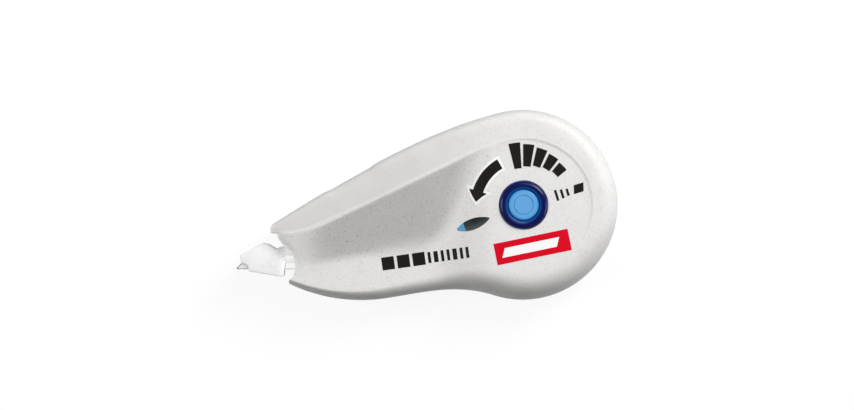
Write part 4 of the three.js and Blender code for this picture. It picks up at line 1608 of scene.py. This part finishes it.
@dataclass
class Print:
    """A flat printed mark that lies on the front face."""

    name: str
    paint: Paint
    chart: Chart
    across: int
    along: int
    lift: float = 0.03
    film: float = 0.012

    def build(self, form: CaseForm, shop: PaintShop) -> bpy.types.Object:
        """Lays the mark on the face.

        Args:
            form: the case's form, for the height of the face.
            shop: where the finishes come from.

        Returns:
            The piece.
        """
        mesh = bmesh.new()
        bmesh.ops.create_grid(mesh, x_segments=self.along, y_segments=self.across, size=0.5)
        for vert in mesh.verts:
            spot = self.chart(vert.co.x + 0.5, vert.co.y + 0.5)
            vert.co = place(spot.x, spot.y, form.face_at(spot.x, spot.y) + self.lift)
        look_towards(mesh, Side.FRONT.value)
        item = object_from(mesh, self.name, smooth_below=60.0)
        thicken(item, self.film, 1.0)
        dress(item, shop.get(self.paint))
        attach(item, "case")
        return item


def panel(centre: Point | Vector, size: Point, degrees: float, slant: float = 0.0) -> Chart:
    """A chart of a turned rectangle or, with a slant, of a parallelogram.

    Args:
        centre: the middle, in millimetres.
        size: length and height.
        degrees: how far it is turned.
        slant: how far the upper edge is pushed along.

    Returns:
        A function from shares along and across to a flat point.
    """
    turn = Matrix.Rotation(math.radians(degrees), 2)

    def chart(along: float, across: float) -> Vector:
        """The point at two shares of the panel."""
        local = Vector(((along - 0.5) * size[0] + (across - 0.5) * slant, (across - 0.5) * size[1]))
        return turn @ local + Vector(centre)
    return chart


def curved_bar(radius: float, width: float, start: float, end: float, taper: float = 0.0) -> Chart:
    """A chart of a bar bent round the winding axis.

    Args:
        radius: middle radius in millimetres.
        width: width of the bar.
        start: first angle in degrees.
        end: last angle in degrees.
        taper: share of the width lost at the far end.

    Returns:
        A function from shares along and across to a flat point.
    """
    def chart(along: float, across: float) -> Vector:
        """The point at two shares of the bar."""
        reach = radius + (across - 0.5) * width * (1 - taper * along)
        return on_circle(reach, mix(start, end, along))
    return chart


@dataclass
class Prints:
    """The generic marks: a winding arrow, a gauge of wedges, a red panel, ticks, and bars in front."""

    upper_lift: float = 0.06
    panel_turn: float = 11.7
    panel_place: Point = (1.88, -8.77)
    panel_size: Point = (15.8, 4.53)
    stroke_place: Point = (1.5, -8.85)
    stroke_size: Point = (11.6, 1.9)
    stroke_slant: float = 0.9
    arrow_radius: float = 9.9
    arrow_width: float = 2.2
    arrow_span: Span = (120.0, 165.0)
    arrow_edge: float = 0.5
    arrow_edge_span: Span = (117.0, 168.0)
    head_width: float = 3.9
    head_span: Span = (163.0, 176.0)
    head_taper: float = 0.97
    head_edge_width: float = 5.6
    head_edge_span: Span = (160.0, 180.0)
    head_edge_taper: float = 0.9
    side_turn: float = 17.0
    side_place: Point = (11.5, 3.5)
    side_size: Point = (2.1, 1.8)
    side_slant: float = 0.5
    tick_count: int = 3
    tick_place: Point = (6.9, 2.0)
    tick_step: Point = (1.15, 0.33)
    tick_width: float = 0.5
    tick_height: float = 2.3
    tick_loss: float = 0.4
    gauge_count: int = 5
    gauge_radius: float = 10.4
    gauge_length: float = 5.4
    gauge_loss: float = 0.75
    gauge_start: float = 104.0
    gauge_step: float = 13.5
    gauge_width: float = 10.8
    row_start: float = -29.6
    row_y: float = -12.4
    row_rise: float = 0.14
    row_turn: float = 8.0
    row_gap: float = 0.62
    row_blocks: int = 3
    row_block: Point = (2.6, 2.7)
    row_line_height: float = 2.3
    row_line_widths: tuple[float, ...] = (0.6, 0.9, 0.6, 0.6, 0.9, 0.6, 0.6)

    def panel_marks(self) -> list[Print]:
        """The red panel with its white block.

        Returns:
            The marks.
        """
        red = panel(self.panel_place, self.panel_size, self.panel_turn)
        white = panel(self.stroke_place, self.stroke_size, self.panel_turn, self.stroke_slant)
        return [
            Print("red_panel", Paint.RED, red, across=8, along=24),
            Print("panel_stroke", Paint.WHITE, white, across=4, along=24, lift=self.upper_lift),
        ]

    def arrow_marks(self) -> list[Print]:
        """The winding arrow on its white edge.

        Returns:
            The edge of the shaft and of the head, then the two in black.
        """
        radius = self.arrow_radius
        edge = curved_bar(radius, self.arrow_width + 2 * self.arrow_edge, *self.arrow_edge_span)
        head_edge = curved_bar(radius, self.head_edge_width, *self.head_edge_span, self.head_edge_taper)
        body = curved_bar(radius, self.arrow_width, *self.arrow_span)
        head = curved_bar(radius, self.head_width, *self.head_span, self.head_taper)
        return [
            Print("arrow_edge", Paint.WHITE, edge, across=6, along=48),
            Print("arrow_head_edge", Paint.WHITE, head_edge, across=6, along=24),
            Print("arrow_body", Paint.BLACK, body, across=6, along=48, lift=self.upper_lift),
            Print("arrow_head", Paint.BLACK, head, across=6, along=24, lift=self.upper_lift),
        ]

    def side_marks(self) -> list[Print]:
        """The slanted block right of the knob, and three ticks before it.

        Returns:
            The marks.
        """
        block = panel(self.side_place, self.side_size, self.side_turn, self.side_slant)
        marks = [Print("side_mark", Paint.BLACK, block, across=3, along=6)]
        for index in range(self.tick_count):
            centre = Vector(self.tick_place) + index * Vector(self.tick_step)
            height = self.tick_height - index * self.tick_loss
            tick = panel(centre, (self.tick_width, height), self.side_turn)
            marks.append(Print(f"side_tick_{index + 1}", Paint.BLACK, tick, across=4, along=1))
        return marks

    def gauge_marks(self) -> list[Print]:
        """The wedges over the knob, each one shorter than the last.

        Returns:
            The marks.
        """
        marks = []
        for index in range(self.gauge_count):
            start = self.gauge_start - index * self.gauge_step
            length = self.gauge_length - self.gauge_loss * index
            bar = curved_bar(self.gauge_radius, length, start, start - self.gauge_width)
            marks.append(Print(f"gauge_{index + 1}", Paint.BLACK, bar, across=6, along=12))
        return marks

    def row_marks(self) -> list[Print]:
        """The rising row in front: blocks first, and then lines.

        Returns:
            The marks.
        """
        marks = []
        spot = self.row_start
        lines = [(width, self.row_line_height) for width in self.row_line_widths]
        for index, (width, height) in enumerate([self.row_block] * self.row_blocks + lines):
            middle = spot + width / 2
            centre = (middle, self.row_y + self.row_rise * (middle - self.row_start))
            bar = panel(centre, (width, height), self.row_turn)
            marks.append(Print(f"front_bar_{index + 1}", Paint.BLACK, bar, across=4, along=6))
            spot += width + self.row_gap
        return marks

    def build(self, form: CaseForm, shop: PaintShop) -> list[bpy.types.Object]:
        """Builds every mark."""
        marks = self.panel_marks() + self.arrow_marks() + self.side_marks() + self.gauge_marks()
        return [mark.build(form, shop) for mark in marks + self.row_marks()]


# Studio


@dataclass(frozen=True)
class Lamp:
    """One soft area lamp that looks at the object."""

    name: str
    azimuth: float
    elevation: float
    power: float
    size: float = 0.35
    distance: float = 0.7

    def build(self) -> None:
        """Places the lamp; azimuth 0 is the photograph's right and 90 its top."""
        data = bpy.data.lights.new(self.name, "AREA")
        data.shape = "DISK"
        data.size = self.size
        data.energy = self.power
        lamp = bpy.data.objects.new(self.name, data)
        flat = on_circle(math.cos(math.radians(self.elevation)), self.azimuth)
        towards = Vector((flat.x, flat.y, math.sin(math.radians(self.elevation))))
        lamp.location = towards * self.distance
        lamp.rotation_euler = (-towards).to_track_quat("-Z", "Y").to_euler()
        bpy.context.scene.collection.objects.link(lamp)


@dataclass
class Studio:
    """Floor, lamps, surroundings and the camera that looks straight down."""

    camera_distance: float = 0.75
    pixel_size: float = 0.000211
    image_width: int = 854
    sensor: float = 36.0
    surroundings: float = 0.035
    glossy_surroundings: float = 0.3
    floor_size: float = 3.0
    floor_glow: float = 0.9
    floor_shade: float = 0.12
    floor_bounce: float = 0.22
    floor_roughness: float = 0.9
    lamps: tuple[Lamp, ...] = (
        Lamp("key", 45, 40, 3.6),
        Lamp("high_key", 60, 62, 0.84),
        Lamp("right_edge", 0, 20, 0.45),
        Lamp("low_right", -8, 15, 0.88),
        Lamp("left_fill", 178, 41, 2.0),
    )

    def floor(self) -> None:
        """The pale floor: white to the eye and in gloss, with a soft shadow under the object."""
        mesh = bmesh.new()
        bmesh.ops.create_grid(mesh, x_segments=1, y_segments=1, size=self.floor_size)
        item = object_from(mesh, "studio_floor")
        material = bpy.data.materials.new("pale_floor")
        material.use_nodes = True
        graph = Graph(material.node_tree)
        path = graph.add("ShaderNodeLightPath")
        white = graph.math("MAXIMUM", graph.seen(path), path.outputs["Is Glossy Ray"])
        for name, value in (
            ("Base Color", graph.mix_colour(white, (self.floor_bounce,) * 3, (self.floor_shade,) * 3)),
            ("Emission Color", (1.0, 1.0, 1.0)),
            ("Emission Strength", graph.math("MULTIPLY", white, self.floor_glow)),
            ("Roughness", self.floor_roughness),
            ("Specular IOR Level", 0.0),
        ):
            graph.feed(graph.tree.nodes["Principled BSDF"], name, value)
        dress(item, material)

    def world(self) -> None:
        """Even surroundings: white to the camera, dimmer in gloss and dimmest as light."""
        world = bpy.data.worlds.new("surroundings")
        bpy.context.scene.world = world
        world.use_nodes = True
        graph = Graph(world.node_tree)
        path = graph.add("ShaderNodeLightPath")
        gloss = graph.math("MULTIPLY", path.outputs["Is Glossy Ray"], self.glossy_surroundings)
        share = graph.math("MAXIMUM", graph.seen(path), gloss)
        inputs = {0: share, NUMBER_A: self.surroundings, NUMBER_B: 1.0}
        strength = graph.add("ShaderNodeMix", inputs, data_type="FLOAT").outputs[NUMBER_RESULT]
        graph.feed(graph.tree.nodes["Background"], "Strength", strength)
        graph.feed(graph.tree.nodes["Background"], "Color", (1.0, 1.0, 1.0))

    def camera(self) -> None:
        """The camera of the photograph: straight down on the object's middle."""
        data = bpy.data.cameras.new("camera")
        data.sensor_width = self.sensor
        data.lens = self.sensor * self.camera_distance / (self.image_width * self.pixel_size)
        camera = bpy.data.objects.new("camera", data)
        camera.location = (0.0, WINDING_AXIS.y, WINDING_AXIS.z + self.camera_distance)
        bpy.context.scene.collection.objects.link(camera)
        bpy.context.scene.camera = camera

    def build(self) -> None:
        """Sets up everything round the object."""
        self.floor()
        self.world()
        for lamp in self.lamps:
            lamp.build()
        self.camera()
        bpy.context.scene.view_settings.view_transform = "Standard"


def report(pieces: Sequence[bpy.types.Object]) -> None:
    """Logs the name of each piece and the number of its faces."""
    for piece in pieces:
        LOG.info("%s: %d faces", piece.name, len(piece.data.polygons))


def main() -> None:
    """Builds the dispenser piece by piece and reports each one."""
    logging.basicConfig(level=logging.INFO, format="%(name)s: %(message)s")
    shop = PaintShop()
    form = CaseForm()
    Studio().build()
    LOG.info("studio ready")
    for side in Side:
        report(HalfShell(side, form).build(shop))
    report(WindingKnob().build(shop))
    report(Reels().build(shop))
    report(Applicator().build(shop))
    report(Prints().build(form, shop))


if __name__ == "__main__":
    main()
